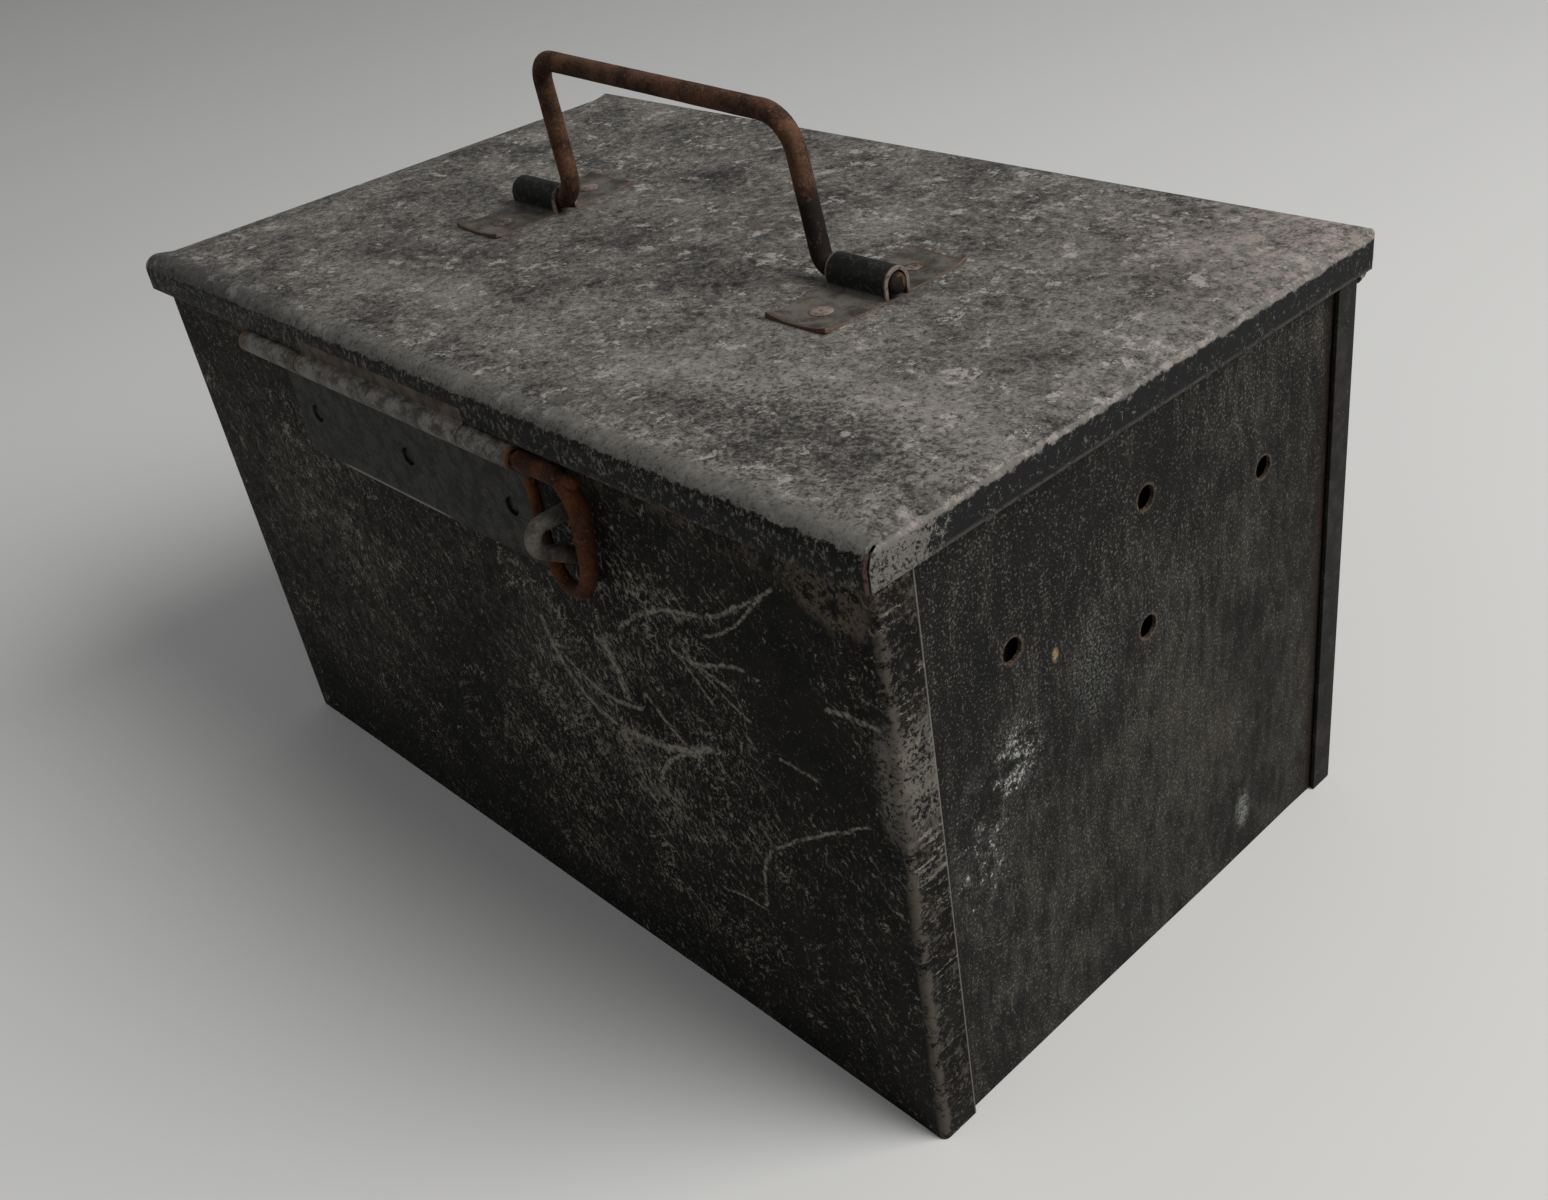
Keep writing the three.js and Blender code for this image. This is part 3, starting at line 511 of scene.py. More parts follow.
def lidLeafSteel(place):
    _, _, z = place.split()
    fine = cloud(place, 1.0 * mm, 4, 0.7)
    plate = cloud(place, 5 * mm, 4, 0.6).between(0.35, 0.65)
    plate = plate.mix(rgb(0.035, 0.025, 0.02), rgb(0.10, 0.075, 0.055))
    # the barrel is painted pale below the brown plate: rubbed bare steel, and a painted highlight
    barrel = (z - fine * 0.8 * mm).between(0.1683, 0.1675)
    wornAndHighlit = (cloud(place, 5 * mm, 5, 0.7) * 0.7 + fine * 0.4).between(0.44, 0.66)
    colour = barrel.mix(plate, wornAndHighlit.mix(rgb(0.055, 0.052, 0.046), rgb(0.20, 0.19, 0.168)))
    return {"colour": colour, "roughness": 0.55 + fine * 0.15, "metallic": barrel * 0.35,
            "height": fine, "depth": 0.08 * mm}


def trayPaint(place):
    return plainPaint(place, 0.02)


def paleFloor(place):
    tint = cloud(place, 0.5, 2).mix(rgb(0.60, 0.60, 0.59), rgb(0.63, 0.63, 0.62))
    grain = cloud(place, 2 * mm, 2)
    return {"colour": tint, "roughness": 0.55 + grain * 0.1, "height": grain,
            "depth": 0.02 * mm, "strength": 0.2}


finishes = {
    "front": newFinish("chipped_black_front", frontPaint),
    "plain": newFinish("black_paint", plainPaint),
    "end": newFinish("dusty_black_end", endPaint),
    "lid": newFinish("weathered_lid", lidPaint),
    "handle": newFinish("handle_rust", handleRust),
    "cast": newFinish("cast_rust", castRust),
    "steel": newFinish("worn_steel", wornSteel),
    "staple": newFinish("staple_steel", stapleSteel),
    "strap": newFinish("strap_steel", strapSteel),
    "rivet": newFinish("rivet_steel", rivetSteel),
    "latch": newFinish("latch_paint", latchPaint),
    "lidLeaf": newFinish("lid_leaf_steel", lidLeafSteel),
    "tray": newFinish("tray_paint", trayPaint),
    "floor": newFinish("pale_floor", paleFloor),
}
print("finishes made:", len(finishes))


def softenEdges(piece, width, angle, evenShading):
    bevel = piece.modifiers.new("softened edges", "BEVEL")
    bevel.width = width
    bevel.segments = 2
    bevel.limit_method = "ANGLE"
    bevel.angle_limit = math.radians(angle)
    bevel.harden_normals = evenShading


def newPiece(name, points, faces, body, finish, stands=(), thick=0.0, soften=0.0, offset=-1):
    mesh = bpy.data.meshes.new(name)
    mesh.from_pydata([tuple(p) for p in points], [], faces)
    mesh.materials.append(finishes[finish])
    mesh.polygons.foreach_set("use_smooth", [True] * len(mesh.polygons))
    mesh.validate()
    piece = bpy.data.objects.new(name, mesh)
    scene.collection.objects.link(piece)
    if thick:
        grow = piece.modifiers.new("thickness", "SOLIDIFY")
        grow.thickness = thick
        grow.offset = offset
    if soften:
        softenEdges(piece, soften, 40, True)
    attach(piece, body)
    if stands:
        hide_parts(*stands)
    return piece


def filleted(points, radii, steps=6, closed=False):  # each corner turned into an arc of its radius
    made = []
    last = len(points) - 1
    for i, (corner, radius) in enumerate(zip(points, radii)):
        if radius == 0 or not closed and i in (0, last):
            made.append(corner.copy())
            continue
        back = (points[i - 1] - corner).normalized()
        ahead = (points[(i + 1) % len(points)] - corner).normalized()
        half = back.angle(ahead) / 2
        centre = corner + (back + ahead).normalized() * (radius / math.sin(half))
        reach = radius / math.tan(half)
        start = corner + back * reach - centre
        end = corner + ahead * reach - centre
        made += [centre + start.slerp(end, k / steps) * radius for k in range(steps + 1)]
    return made


def spaced(points, gap, closed=False):  # extra points, so that none are further apart than gap
    made = []
    pairs = list(zip(points, points[1:] + points[:1]))
    for a, b in pairs if closed else pairs[:-1]:
        parts = max(1, math.ceil((b - a).length / gap - 1e-6))
        made += [a.lerp(b, k / parts) for k in range(parts)]
    return made if closed else made + [points[-1].copy()]


def steps(low, high, gap):
    parts = max(1, math.ceil((high - low) / gap - 1e-6))
    return [low + (high - low) * k / parts for k in range(parts + 1)]


def grid(rows, columns, place, keep=lambda r, c: True):  # quads over a table of places
    points, faces, index = [], [], {}

    def vertex(r, c):
        if (r, c) not in index:
            index[r, c] = len(points)
            points.append(place(r, c))
        return index[r, c]

    for r in range(rows - 1):
        for c in range(columns - 1):
            if keep(r, c):
                faces.append([vertex(r, c), vertex(r, c + 1), vertex(r + 1, c + 1), vertex(r + 1, c)])
    return points, faces, index


def band(a, b, count):  # quads between two rings, whose points start at a and at b
    return [[a + k, a + (k + 1) % count, b + (k + 1) % count, b + k] for k in range(count)]


tubeEnd = {"depth": 0.55, "rings": [(0.99, 0.12), (0.9, 0.42), (0.66, 0.74), (0.34, 0.94)]}


# A rod along a path, round closed ends unless it joins up. The path lies flat across plane.
def tube(path, radius, plane, sides=18, closed=False):
    points, faces, rings = [], [], []
    count = len(path)

    def ring(centre, ahead, r):
        side = plane.cross(ahead)
        turns = [2 * math.pi * k / sides for k in range(sides)]
        points.extend(centre + (side * math.cos(t) + plane * math.sin(t)) * r for t in turns)
        rings.append(len(points) - sides)

    for i, point in enumerate(path):
        before = path[i - 1] if closed or i else point
        after = path[(i + 1) % count] if closed or i < count - 1 else point
        ahead = (after - before).normalized()
        r = radius(point) if callable(radius) else radius
        if not closed and i == 0:
            for out, wide in tubeEnd["rings"]:
                ring(point - ahead * r * tubeEnd["depth"] * out, ahead, r * wide)
        ring(point, ahead, r)
        if not closed and i == count - 1:
            for out, wide in reversed(tubeEnd["rings"]):
                ring(point + ahead * r * tubeEnd["depth"] * out, ahead, r * wide)
    joins = list(zip(rings, rings[1:])) + ([(rings[-1], rings[0])] if closed else [])
    for a, b in joins:
        faces += band(a, b, sides)
    if not closed:
        faces.append([rings[0] + k for k in reversed(range(sides))])
        faces.append([rings[-1] + k for k in range(sides)])
    return points, faces


def turned(profile, centre, axis, sides=28):  # a lathe form: (radius, height) pairs up the axis
    across = axis.orthogonal().normalized()
    other = axis.cross(across)
    points, faces = [], []
    for radius, height in profile:
        for k in range(sides):
            t = 2 * math.pi * k / sides
            out = (across * math.cos(t) + other * math.sin(t)) * max(radius, 1e-6)
            points.append(centre + axis * height + out)
    for r in range(len(profile) - 1):
        faces += band(r * sides, (r + 1) * sides, sides)
    faces.append(list(reversed(range(sides))))
    faces.append([len(points) - sides + k for k in range(sides)])
    return points, faces


def ripple(x, y, size, seed):  # smooth hand-worked waviness, -1 to 1
    return noise.noise(Vector((x / size, y / size, seed)))


def carryOver(node, finish):  # a CAD node that is shown as it is
    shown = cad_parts[node]
    shown.data.materials.clear()
    shown.data.materials.append(finishes[finish])
    weld = shown.modifiers.new("welded", "WELD")
    weld.merge_threshold = 0.005 * mm
    softenEdges(shown, 0.3 * mm, 35, False)


lidShape = {"frontBend": 3.5 * mm, "rearBend": 1.5 * mm, "sideBend": 1.3 * mm, "gap": 7 * mm,
            "sag": 0.12 * mm}


def makeLid():
    shape = lidShape
    top, low = lidHigh.z, lidLow.z
    front, back, side = lidLow.y, lidHigh.y, lidHigh.x
    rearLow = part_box("rear_hinge_body_leaf")[1].z + 0.3 * mm
    corners = [Vector((0, y, z)) for y, z in ((front, low), (front, top), (back, top), (back, rearLow))]
    profile = spaced(filleted(corners, [0, shape["frontBend"], shape["rearBend"], 0], 7), shape["gap"])
    flatStart = next(i for i, p in enumerate(profile) if p.z > top - 1e-6)
    flatEnd = max(i for i, p in enumerate(profile) if p.z > top - 1e-6)
    bend = shape["sideBend"]
    inner = side - bend
    stations = steps(-inner, inner, shape["gap"])

    def place(r, c):
        x, p = stations[c], profile[r]
        y, z = p.y, p.z
        inFrom = side - abs(x)
        if flatStart <= r <= flatEnd:
            fromEdge = min(inFrom - bend, y - front, back - y)
            fade = max(0, min(1, fromEdge / (40 * mm)))
            z -= shape["sag"] * fade * (0.5 + 0.5 * ripple(x, y, 45 * mm, 3))
        if c in (0, len(stations) - 1) and r < flatStart:  # comes out over the end flange's edge
            x += math.copysign((bend - 0.45 * mm) * min(1, (top - z) / bend), x)
        return Vector((x, y, z))

    columns = len(stations)
    points, faces, index = grid(len(profile), columns, place)
    # the end flanges, folded down from the flat's edges
    turnSteps = 4
    drop = steps(0, top - bend - low, 3 * mm)[1:]
    for sign in (-1, 1):
        edgeColumn = 0 if sign < 0 else columns - 1
        lines = [[index[r, edgeColumn] for r in range(flatStart, flatEnd + 1)]]
        depths = [(inner + bend * math.sin(a), bend * (1 - math.cos(a)))
                  for a in (math.pi / 2 * k / turnSteps for k in range(1, turnSteps + 1))]
        depths += [(side, bend + d) for d in drop]
        for x, down in depths:
            line = []
            z = top - down
            frontInner = shape["frontBend"] - 0.15 * mm
            over = min(frontInner, max(0, z - (top - shape["frontBend"])))
            frontY = front + shape["frontBend"] - math.sqrt(frontInner**2 - over**2)
            backY = back - sheet - 0.1 * mm
            flatY = [points[index[r, edgeColumn]].y for r in range(flatStart, flatEnd + 1)]
            for y in flatY:
                share = (y - flatY[0]) / (flatY[-1] - flatY[0])
                ease = frontY * (1 - share) + backY * share
                blendY = y + (ease - y) * abs(2 * share - 1) ** 8
                wave = 0.08 * mm * (1 + ripple(blendY, 5, 40 * mm, 11))
                wave *= min(1, down / (5 * mm))
                points.append(Vector((sign * (x - wave), blendY, z)))
                line.append(len(points) - 1)
            lines.append(line)
        for upper, lower in zip(lines, lines[1:]):
            for k in range(len(upper) - 1):
                quad = [upper[k], lower[k], lower[k + 1], upper[k + 1]]
                faces.append(quad if sign < 0 else quad[::-1])
    return newPiece("lid", points, [f[::-1] for f in faces], "lid", "lid",
                    ["lid_shell"], sheet, 0.25 * mm)


makeLid()


wallShape = {"bend": 2 * mm, "gap": 7 * mm, "wave": 0.35 * mm}


def makeWrappedWall(name, node, finish, sign):
    low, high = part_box(node)
    face = sign * wallY
    turnedTo = low.y if sign > 0 else high.y
    corners = [Vector((-wallX, turnedTo, 0)), Vector((-wallX, face, 0)),
               Vector((wallX, face, 0)), Vector((wallX, turnedTo, 0))]
    bend = wallShape["bend"]
    profile = spaced(filleted(corners, [0, bend, bend, 0], 6), wallShape["gap"])
    heights = steps(low.z, high.z, wallShape["gap"])

    def place(r, c):
        p, z = profile[c], heights[r]
        x, y = p.x, p.y
        if abs(y - face) < 1e-6:
            fade = min(1, (wallX - abs(x)) / (25 * mm), (high.z - z + 2 * mm) / (20 * mm))
            y -= sign * wallShape["wave"] * fade * (0.5 + 0.5 * ripple(x, z, 55 * mm, sign * 4))
        return Vector((x, y, z))

    points, faces, _ = grid(len(heights), len(profile), place)
    if sign > 0:
        faces = [f[::-1] for f in faces]
    return newPiece(name, points, faces, "box", finish, [node], sheet, 0.2 * mm)


makeWrappedWall("front_sheet", "front_panel", "front", -1)
makeWrappedWall("back_sheet", "back_panel", "plain", 1)

plateShape = {"cell": 6 * mm, "fine": 5, "ring": 3, "gap": 7 * mm, "radius": 3.2 * mm}


def roundHoles(u, v, holes, radius, cell):  # draws the squares near each hole into rings
    ring = plateShape["ring"] / plateShape["fine"]
    for holeU, holeV in holes:
        du, dv = u - holeU, v - holeV
        away = max(abs(du), abs(dv)) / cell
        if 0 < away < 1 - 1e-6:
            share = max(0, (away - ring) / (1 - ring))
            length = math.hypot(du, dv)
            reach = (radius + (cell - radius) * share) * (1 - share)
            u = holeU + du / length * reach + du * share
            v = holeV + dv / length * reach + dv * share
    return u, v


def clearOfHoles(u, v, holes, cell):
    ring = plateShape["ring"] / plateShape["fine"]
    return all(max(abs(u - holeU), abs(v - holeV)) > cell * ring for holeU, holeV in holes)


# A flat plate with round holes.
def holedPlate(spanU, spanV, holes, radius, cell, gap):
    fine = plateShape["fine"]

    def lines(span, centres):
        marks = sorted({round(c, 6) for c in centres})
        made, edge = [], span[0]
        for centre in marks:
            if centre - cell > edge + 1e-6:
                made += steps(edge, centre - cell, gap)[:-1]
            begin = max(edge, centre - cell)
            made += [begin + (centre + cell - begin) * k / (2 * fine) for k in range(2 * fine)]
            edge = centre + cell
        return made + steps(edge, span[1], gap)

    us = lines(spanU, [h[0] for h in holes])
    vs = lines(spanV, [h[1] for h in holes])

    def place(r, c):
        return roundHoles(us[c], vs[r], holes, radius, cell)

    def keep(r, c):
        return clearOfHoles((us[c] + us[c + 1]) / 2, (vs[r] + vs[r + 1]) / 2, holes, cell)

    return us, vs, place, keep


def makeEnd(node, sign):
    low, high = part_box(node)
    face = high.x if sign > 0 else low.x
    holes = [(y * mm, z * mm) for y, z in endHoles]
    us, vs, place, keep = holedPlate((low.y, high.y), (low.z, high.z), holes,
                                     plateShape["radius"], plateShape["cell"], plateShape["gap"])

    def lifted(r, c):
        u, v = place(r, c)
        fade = min(1, (high.y - abs(u)) / (20 * mm), (high.z - v + 3 * mm) / (20 * mm))
        bow = 0.3 * mm * fade * (0.5 + 0.5 * ripple(u, v, 50 * mm, 9 * sign))
        return Vector((face - sign * bow, u, v))

    points, faces, _ = grid(len(vs), len(us), lifted, keep)
    if sign < 0:
        faces = [f[::-1] for f in faces]
    return newPiece(node.replace("panel", "plate"), points, faces, "box", "end",
                    [node], sheet, 0.15 * mm)


makeEnd("right_end_panel", 1)
makeEnd("left_end_panel", -1)
carryOver("bottom_panel", "plain")
for side in ("left", "right"):
    for way in ("front", "back"):
        carryOver(f"tray_bracket_{side}_{way}", "plain")
print("lid and walls made")


# A leaf of sheet whose tongues roll round the pin. Places are (y, z).
def makeLeaf(name, node, body, finish, axis, plateY, far, knuckles, span, thick, barrel,
             roll=(0, 325), up=1, holes=(), radius=0.0):
    toward = 1 if plateY > axis[0] else -1
    curl = barrel - thick / 2
    clear = axis[1] - up * (barrel + 0.4 * mm)
    first, last = (math.radians(a) for a in roll)
    arc = []
    parts = 26
    for k in range(parts + 1):
        a = first + (last - first) * k / parts
        arc.append((axis[0] + toward * curl * math.cos(a), axis[1] + up * curl * math.sin(a)))
    if roll[0]:  # comes down onto the top of its barrel
        rootLine = [(plateY, axis[1] + curl + 1.6 * mm), (plateY, axis[1] + curl + 0.9 * mm),
                    (plateY - toward * 0.25 * mm, axis[1] + curl + 0.25 * mm)]
        plateEnd = axis[1] + curl + 1.8 * mm
    else:
        rootLine = [(plateY, clear + up * 0.6 * mm), (axis[0] + toward * curl, axis[1] - up * 0.9 * mm)]
        plateEnd = clear
    cell = 4.6 * mm
    us, vs, _, _ = holedPlate(span, sorted((far, plateEnd)), holes, radius, cell, 6 * mm)
    if plateEnd < far:
        vs = vs[::-1]
    extra = sorted({round(e, 6) for k in knuckles for e in k} | {round(span[0], 6), round(span[1], 6)})
    columns = sorted({round(u, 6) for u in us} | set(extra))
    columns = [c for i, c in enumerate(columns) if i == 0 or c - columns[i - 1] > 0.05 * mm or c in extra]
    rows = len(vs)
    bendLine = rootLine + arc

    def place(r, c):
        x = columns[c]
        if r < rows:
            u, v = roundHoles(x, vs[r], holes, radius, cell)
            return Vector((u, plateY, v))
        y, z = bendLine[r - rows]
        return Vector((x, y, z))

    def keep(r, c):
        x = (columns[c] + columns[c + 1]) / 2
        inSpan = span[0] < x < span[1]
        inKnuckle = any(k[0] < x < k[1] for k in knuckles)
        if r < rows - 1:
            v = (vs[r] + vs[r + 1]) / 2
            return inSpan and clearOfHoles(x, v, holes, cell)
        if r < rows + len(rootLine) - 1:
            return inSpan and inKnuckle
        return inKnuckle

    points, faces, _ = grid(rows + len(bendLine), len(columns), place, keep)
    return newPiece(name, points, faces, body, finish, [node], thick, 0.18 * mm, 0)


pinLow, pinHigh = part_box("lock_pin")
latchAxis = ((pinLow.y + pinHigh.y) / 2, (pinLow.z + pinHigh.z) / 2)
leafLow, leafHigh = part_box("latch_body_leaf")
lidLeafLow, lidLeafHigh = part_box("latch_lid_leaf")
latchShape = {"barrel": 3.25 * mm, "rivets": [-72, -21.5, 29], "rivetZ": 146, "hole": 2.7 * mm,
              "leafLeft": -83.5 * mm, "leafRight": 40.5 * mm}


def makeLatch():
    shape = latchShape
    gap = 0.4 * mm
    plateY = -wallY - 0.3 * mm - sheet / 2
    knuckles = [(leafLow.x, lidLeafLow.x - gap), (lidLeafHigh.x + gap, leafHigh.x)]
    holes = [(x * mm, shape["rivetZ"] * mm) for x in shape["rivets"]]
    makeLeaf("latch_leaf", "latch_body_leaf", "box", "latch", latchAxis, plateY,
             leafLow.z, knuckles, (shape["leafLeft"], shape["leafRight"]), sheet, shape["barrel"],
             holes=holes, radius=shape["hole"])
    lidPlateY = lidLow.y - 0.3 * mm - 0.5 * mm
    makeLeaf("latch_lid_plate", "latch_lid_leaf", "lid", "lidLeaf", latchAxis, lidPlateY,
             lidLeafHigh.z, [(lidLeafLow.x, lidLeafHigh.x)], (lidLeafLow.x, lidLeafHigh.x), 1 * mm,
             shape["barrel"], roll=(95, 405))
    for i, x in enumerate(shape["rivets"]):
        profile = [(0, -0.4), (2.1, -0.4), (2.55, 0.0), (2.6, 2.0), (2.3, 2.28), (1.2, 2.42), (0, 2.45)]
        points, faces = turned([(r * mm, h * mm) for r, h in profile],
                               Vector((x * mm, -wallY + sheet + 0.4 * mm, shape["rivetZ"] * mm)), -yAxis)
        newPiece(f"latch_rivet_head_{i + 1}", points, faces, "box", "latch",
                 [f"latch_rivet_{i + 1}"])


makeLatch()

rearLow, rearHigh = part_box("rear_hinge_pin")
rearAxis = ((rearLow.y + rearHigh.y) / 2, (rearLow.z + rearHigh.z) / 2)
rearShape = {"count": 5, "thick": 0.8 * mm, "barrel": 3.25 * mm, "gap": 0.2 * mm}


def makeRearHinge():
    shape = rearShape
    low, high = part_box("rear_hinge_body_leaf")
    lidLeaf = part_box("rear_hinge_lid_leaf")
    pitch = (high.x - low.x) / shape["count"]
    ends = [(low.x + k * pitch + shape["gap"], low.x + (k + 1) * pitch - shape["gap"])
            for k in range(shape["count"])]
    plateY = wallY + 0.3 * mm + shape["thick"] / 2
    span = (low.x, high.x)
    makeLeaf("rear_body_leaf", "rear_hinge_body_leaf", "box", "plain", rearAxis, plateY,
             low.z, ends[::2], span, shape["thick"], shape["barrel"])
    makeLeaf("rear_lid_leaf", "rear_hinge_lid_leaf", "lid", "plain", rearAxis, plateY,
             lidLeaf[1].z, ends[1::2], span, shape["thick"], shape["barrel"], up=-1)
    carryOver("rear_hinge_pin", "steel")
    for i in range(4):
        low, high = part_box(f"rear_hinge_rivet_{i + 1}")
        centre = Vector(((low.x + high.x) / 2, low.y, (low.z + high.z) / 2))
        length = (high.y - low.y) / mm
        profile = [(0, 0), (2.3, 0.1), (2.7, 0.7), (1.8, 0.85), (1.8, length - 0.8), (3.0, length - 0.8),
                   (2.9, length - 0.45), (2.2, length - 0.12), (1.1, length), (0, length)]
        points, faces = turned([(r * mm, h * mm) for r, h in profile], centre, yAxis)
        newPiece(f"rear_rivet_{i + 1}", points, faces, "box", "steel",
                 [f"rear_hinge_rivet_{i + 1}"])


makeRearHinge()


stapleShape = {"wire": 2.25 * mm, "upperLeg": 152.7 * mm, "lowerLeg": 140.0 * mm, "noseLow": 146.6 * mm,
               "bends": [3.6 * mm, 4 * mm, 1.2 * mm], "wornNose": 4 * mm, "wear": 0.06}


def makeStaple():
    shape = stapleShape
    low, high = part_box("padlock_staple")
    x = (low.x + high.x) / 2
    out = low.y + 2.3 * mm
    inside = -wallY + sheet + 1.2 * mm
    corners = [(out, shape["upperLeg"]), (out, shape["noseLow"]), (-wallY - 1.2 * mm, shape["lowerLeg"])]
    corners = [(inside, shape["upperLeg"]), *corners, (inside, shape["lowerLeg"])]
    radii = [0, *shape["bends"], 0]
    path = spaced(filleted([Vector((x, y, z)) for y, z in corners], radii, 10), 1.2 * mm)

    def radius(p):  # a little thinner where it has been rubbed
        return shape["wire"] * (1 - shape["wear"] * (p.y < out + shape["wornNose"]))

    points, faces = tube(path, radius, xAxis, 20)
    newPiece("staple_ring", points, faces, "box", "staple", ["padlock_staple"])


def makeLockPin():
    y, z = latchAxis
    length = (pinHigh.x - pinLow.x) / mm
    profile = [(0, 0), (1.2, 0.05), (1.6, 0.5), (1.6, length - 0.3), (0, length)]
    points, faces = turned([(r * mm, h * mm) for r, h in profile], Vector((pinLow.x, y, z)), xAxis, 24)
    newPiece("pin_rod", points, faces, "pin", "cast", ["lock_pin"])


loopShape = {
    "ring": [(46.3, 164.8, 2.5), (66.3, 164.8, 9), (63.3, 139.5, 7), (58.5, 131.5, 4.5), (50.5, 131.4, 5),
             (46.3, 140.5, 9)],  # x, z and the bend's radius, in mm
    "left": 48, "width": 17, "foot": 134, "height": 30,  # the bars thicken over this part, in mm
    "bar": 1.45, "footMore": 0.5, "rightMore": 0.85, "shoulderMore": 0.55,
    "sleeve": 2.65 * mm, "skin": 0.36 * mm,
}


def makeLoop():
    shape = loopShape
    low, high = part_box("lock_pin_loop")
    y, z = latchAxis
    corners = [Vector((px * mm, y, pz * mm)) for px, pz, _ in shape["ring"]]
    bends = [bend * mm for _, _, bend in shape["ring"]]
    path = spaced(filleted(corners, bends, 8, True), 1.2 * mm, True)

    def radius(p):  # thin on the left, heavy towards the right shoulder
        heavy = max(0, min(1, (p.x / mm - shape["left"]) / shape["width"]))
        rise = max(0, min(1, (p.z / mm - shape["foot"]) / shape["height"]))
        more = heavy * (shape["rightMore"] + shape["shoulderMore"] * rise)
        return (shape["bar"] + shape["footMore"] * (1 - rise) * (1 - heavy) + more) * mm

    points, faces = tube(path, radius, yAxis, 20, True)
    sleeve = [Vector((low.x + 1.4 * mm + (high.x - low.x - 11 * mm) * k / 12, y, z)) for k in range(13)]
    more, moreFaces = tube(sleeve, shape["sleeve"], yAxis, 24)
    offset = len(points)
    faces = faces + [[v + offset for v in f] for f in moreFaces]
    piece = newPiece("loop_casting", points + more, faces, "pin_loop", "cast",
                     ["lock_pin_loop"])
    skin = piece.modifiers.new("one skin", "REMESH")
    skin.mode = "VOXEL"
    skin.voxel_size = shape["skin"]
    skin.use_smooth_shade = True
    ease = piece.modifiers.new("eased", "SMOOTH")
    ease.factor = 0.6
    ease.iterations = 8


makeStaple()
makeLockPin()
makeLoop()
print("hinges and latch made")


handleShape = {"wire": 3 * mm, "legs": (-54.2, 55.6), "shoulders": ((-58.4, 43.1), (49.6, 38.8)),
               "bends": [8, 6, 12, 4.2]}  # mm, from the left end to the right end


def makeHandle():
    low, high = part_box("carry_handle")
    axis = low.z + handleShape["wire"]
    end = high.x - 1.6 * mm
    left, right = (x * mm for x in handleShape["legs"])
    shoulders = [Vector((x * mm, 0, axis + rise * mm)) for x, rise in handleShape["shoulders"]]
    corners = [Vector((-end, 0, axis)), Vector((left, 0, axis)), *shoulders,
               Vector((right, 0, axis)), Vector((end, 0, axis))]
    radii = [0] + [b * mm for b in handleShape["bends"]] + [0]
    path = spaced(filleted(corners, radii, 10), 2 * mm)

    def radius(p):
        return handleShape["wire"] * (0.975 + 0.02 * noise.noise(p * 180))

    points, faces = tube(path, radius, yAxis, 22)
    newPiece("handle_wire", points, faces, "handle", "handle", ["carry_handle"])


strapShape = {"sheet": 1.2 * mm, "foot": 0.9 * mm, "flat": 18 * mm, "reach": 9 * mm,
              "curl": 0.75 * mm, "pull": 0.5 * mm, "ragged": 0.3 * mm}


def makeStraps():
    shape = strapShape
    for name in ("left", "right"):
        low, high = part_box(f"handle_strap_{name}")
        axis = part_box("carry_handle")[0].z + handleShape["wire"]
        thick = shape["sheet"]
        curl = high.z - axis - thick / 2
        flat = low.z + thick / 2
        right = [Vector((0, high.y, flat)), Vector((0, curl, flat)), Vector((0, curl, axis))]
        arc = [Vector((0, curl * math.cos(a), axis + curl * math.sin(a)))
               for a in (math.pi * k / 18 for k in range(1, 18))]
        left = [Vector((0, -p.y, p.z)) for p in right[::-1]]
        foot = [0, shape["foot"], 0]
        profile = spaced(filleted(right, foot, 4) + arc + filleted(left, foot, 4), 3 * mm)
        stations = steps(low.x, high.x, 2.5 * mm)

        def place(r, c):
            p, x = profile[r], stations[c]
            out = max(0, abs(p.y) - shape["flat"]) / shape["reach"]
            side = abs(x - (low.x + high.x) / 2) / ((high.x - low.x) / 2)
            curled = shape["curl"] * out * out * (0.6 + side * side) * (1 + ripple(x, p.y, 9 * mm, 2))
            pull = shape["pull"] * out * side**3 + shape["ragged"] * out * ripple(x, p.y, 6 * mm, 5)
            return Vector((x, p.y - math.copysign(abs(pull), p.y), p.z + curled))

        points, faces, _ = grid(len(profile), len(stations), place)
        newPiece(f"strap_{name}", points, faces, "lid", "strap",
                 [f"handle_strap_{name}"], thick, 0.2 * mm, 0)
        for way in ("front", "back"):
            node = f"strap_rivet_{name}_{way}"
            rivetLow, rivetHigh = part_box(node)
            length = (rivetHigh.z - rivetLow.z) / mm
            middle = (rivetLow + rivetHigh) / 2
            centre = Vector((middle.x, middle.y, rivetLow.z))
            outline = [(0, 0), (2.2, 0.05), (2.7, 0.6), (1.8, 0.9), (1.8, length - 0.65),
                       (3.3, length - 0.62), (3.1, length - 0.4), (2.2, length - 0.2),
                       (1.0, length - 0.12), (0, length - 0.1)]
            points, faces = turned([(r * mm, h * mm) for r, h in outline], centre, zAxis)
            newPiece(f"rivet_{name}_{way}", points, faces, "lid", "rivet", [node])


makeHandle()
makeStraps()
print("handle and straps made")


trayShape = {"sheet": 1.1 * mm, "soften": 0.15 * mm}


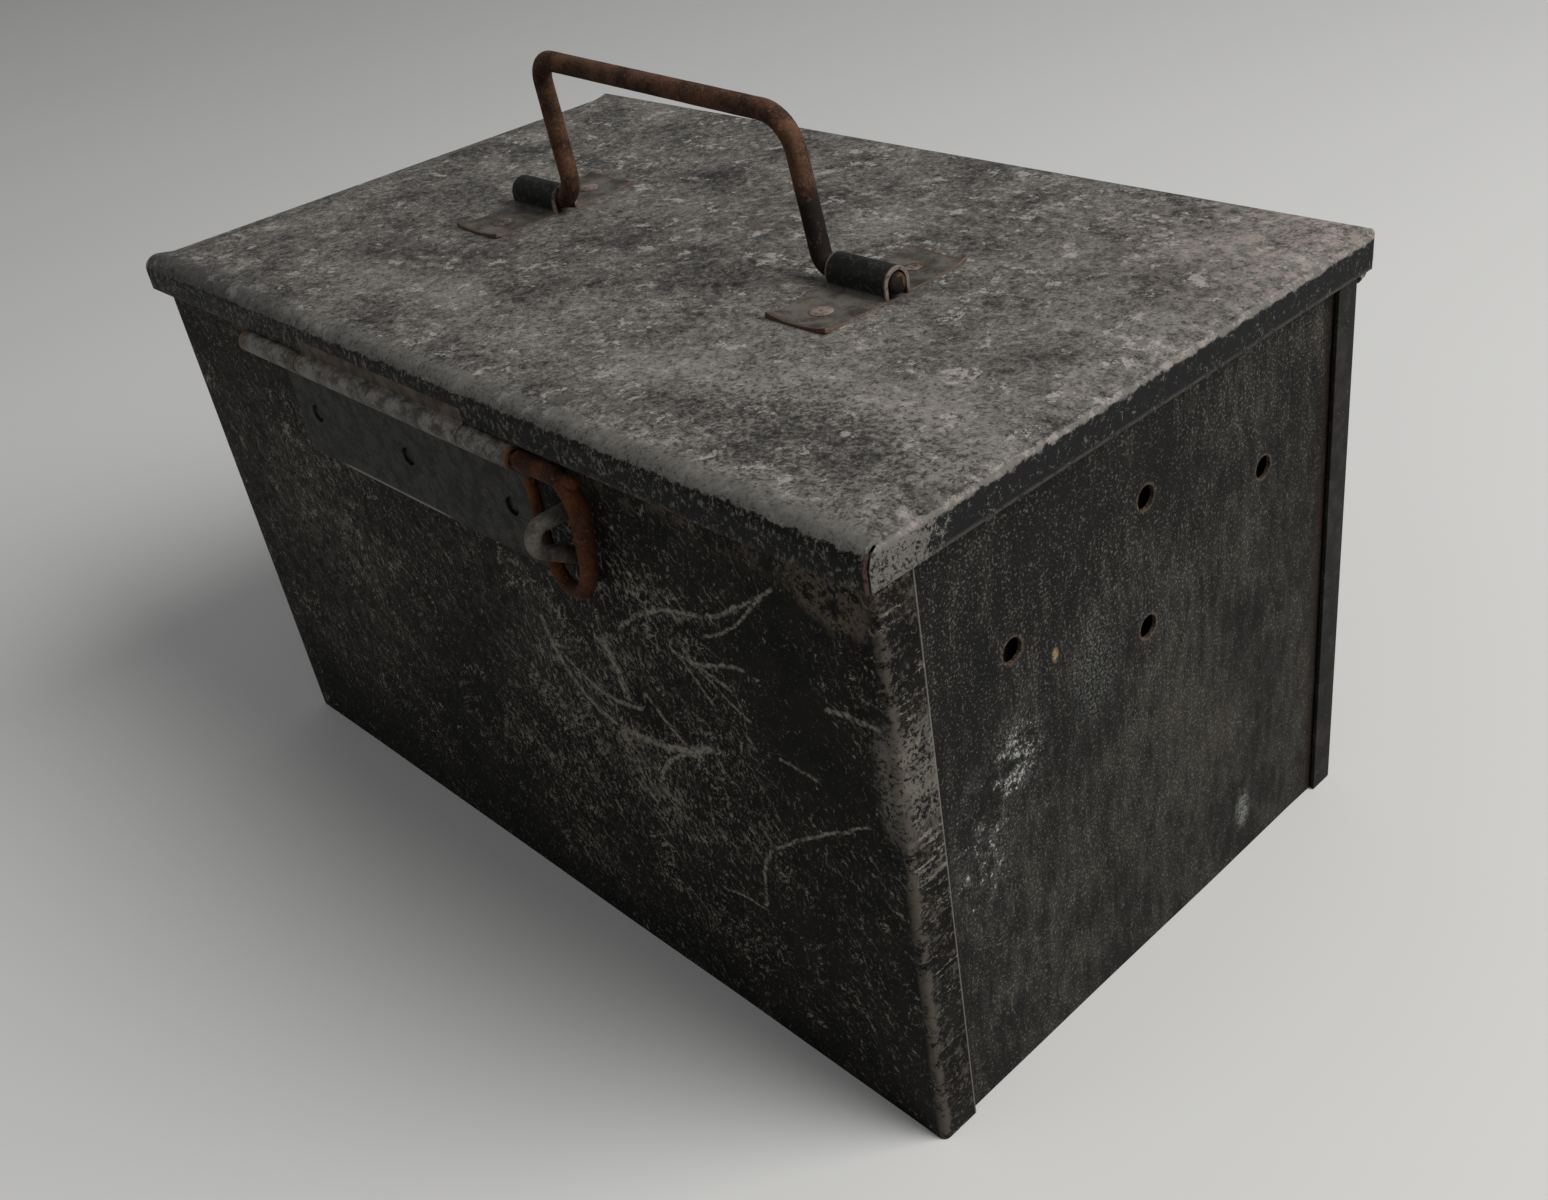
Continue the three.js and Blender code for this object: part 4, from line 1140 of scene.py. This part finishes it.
def makeTray():
    low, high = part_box("tray_pan")
    outline = [(1, 1), (-1, 1), (-1, -1), (1, -1)]

    def ring(inset, z, r):
        x, y = high.x - inset, high.y - inset
        corners = [Vector((a * x, b * y, z)) for a, b in outline]
        return filleted(corners, [max(r, 0.2 * mm)] * 4, 5, True)

    t = trayShape["sheet"] / 2
    # inset and corner radius in mm, from the turned-in rim down to the floor
    sections = [(3.0, high.z - 1.1 * mm - t, 0.3), (2.6, high.z - t, 0.4), (1.2, high.z - t, 1.4),
                (0.75, high.z - 0.5 * mm - t, 1.9), (0.55, high.z - 1.2 * mm - t, 2.2),
                (0.55, low.z + 2.2 * mm, 2.2), (0.85, low.z + 1.1 * mm, 2.0), (1.6, low.z + t, 1.4),
                (4.0, low.z + t, 0.8)]
    rings = [ring(inset * mm, z, r * mm) for inset, z, r in sections]
    count = len(rings[0])
    points = [p for loop in rings for p in loop]
    faces = []
    for k in range(len(rings) - 1):
        faces += band(k * count, (k + 1) * count, count)
    faces.append([(len(rings) - 1) * count + i for i in range(count)])
    newPiece("tray", points, faces, "tray", "tray", ["tray_pan"],
             trayShape["sheet"], trayShape["soften"], 0)
    for node in ("tray_long_divider", "tray_cross_divider_left", "tray_cross_divider_right"):
        carryOver(node, "tray")


makeTray()
print("tray made")


stageShape = {
    "aim": (0, 0, 0.1), "sky": rgb(0.93, 0.93, 0.94), "skyStrength": 0.26,
    "lamps": [  # name, place, size, power, colour
        ("window", (1.5, 0.7, 1.6), 1.6, 56, (1, 0.99, 0.975)),
        ("fill", (-0.6, -1.6, 1.4), 1.5, 2.5, (0.97, 0.98, 1)),
    ],
}


def makeFloor():
    mesh = bpy.data.meshes.new("floor")
    points, faces, _ = grid(9, 9, lambda r, c: Vector((c - 4, r - 4, 0)))
    mesh.from_pydata([tuple(p) for p in points], [], faces)
    mesh.materials.append(finishes["floor"])
    floor = bpy.data.objects.new("floor", mesh)
    scene.collection.objects.link(floor)


def makeLight(name, place, size, power, colour):
    light = bpy.data.lights.new(name, "AREA")
    light.shape = "DISK"
    light.size = size
    light.energy = power
    light.color = colour
    lamp = bpy.data.objects.new(name, light)
    lamp.location = place
    lamp.rotation_mode = "QUATERNION"
    toBox = Vector(stageShape["aim"]) - Vector(place)
    lamp.rotation_quaternion = toBox.to_track_quat("-Z", "Y")
    scene.collection.objects.link(lamp)


makeFloor()
for lamp in stageShape["lamps"]:
    makeLight(*lamp)
world = bpy.data.worlds.new("studio")
scene.world = world
world.use_nodes = True
sky = world.node_tree.nodes["Background"]
sky.inputs["Color"].default_value = stageShape["sky"]
sky.inputs["Strength"].default_value = stageShape["skyStrength"]
scene.view_settings.view_transform = "Standard"

cameraShape = {"place": (0.35704, -0.26777, 0.33340), "azimuth": 49.228, "elevation": 33.223,
               "roll": -8.137, "lens": 36.93, "shift": (-0.0506, 0.0149)}


def makeCamera():
    shape = cameraShape
    azimuth, elevation, roll = (math.radians(shape[k]) for k in ("azimuth", "elevation", "roll"))
    back = Vector((math.sin(azimuth) * math.cos(elevation), -math.cos(azimuth) * math.cos(elevation),
                   math.sin(elevation)))
    right = (-back).cross(zAxis).normalized()
    up = back.cross(right)
    turnedRight = right * math.cos(roll) + up * math.sin(roll)
    turnedUp = up * math.cos(roll) - right * math.sin(roll)
    camera = bpy.data.objects.new("camera", bpy.data.cameras.new("camera"))
    camera.data.sensor_width = 36
    camera.data.lens = shape["lens"]
    camera.data.shift_x, camera.data.shift_y = shape["shift"]
    camera.data.clip_start = 0.01
    camera.matrix_world = Matrix.Translation(shape["place"]) @ Matrix(
        (turnedRight, turnedUp, back)).transposed().to_4x4()
    scene.collection.objects.link(camera)
    scene.camera = camera


makeCamera()
print("stage made")
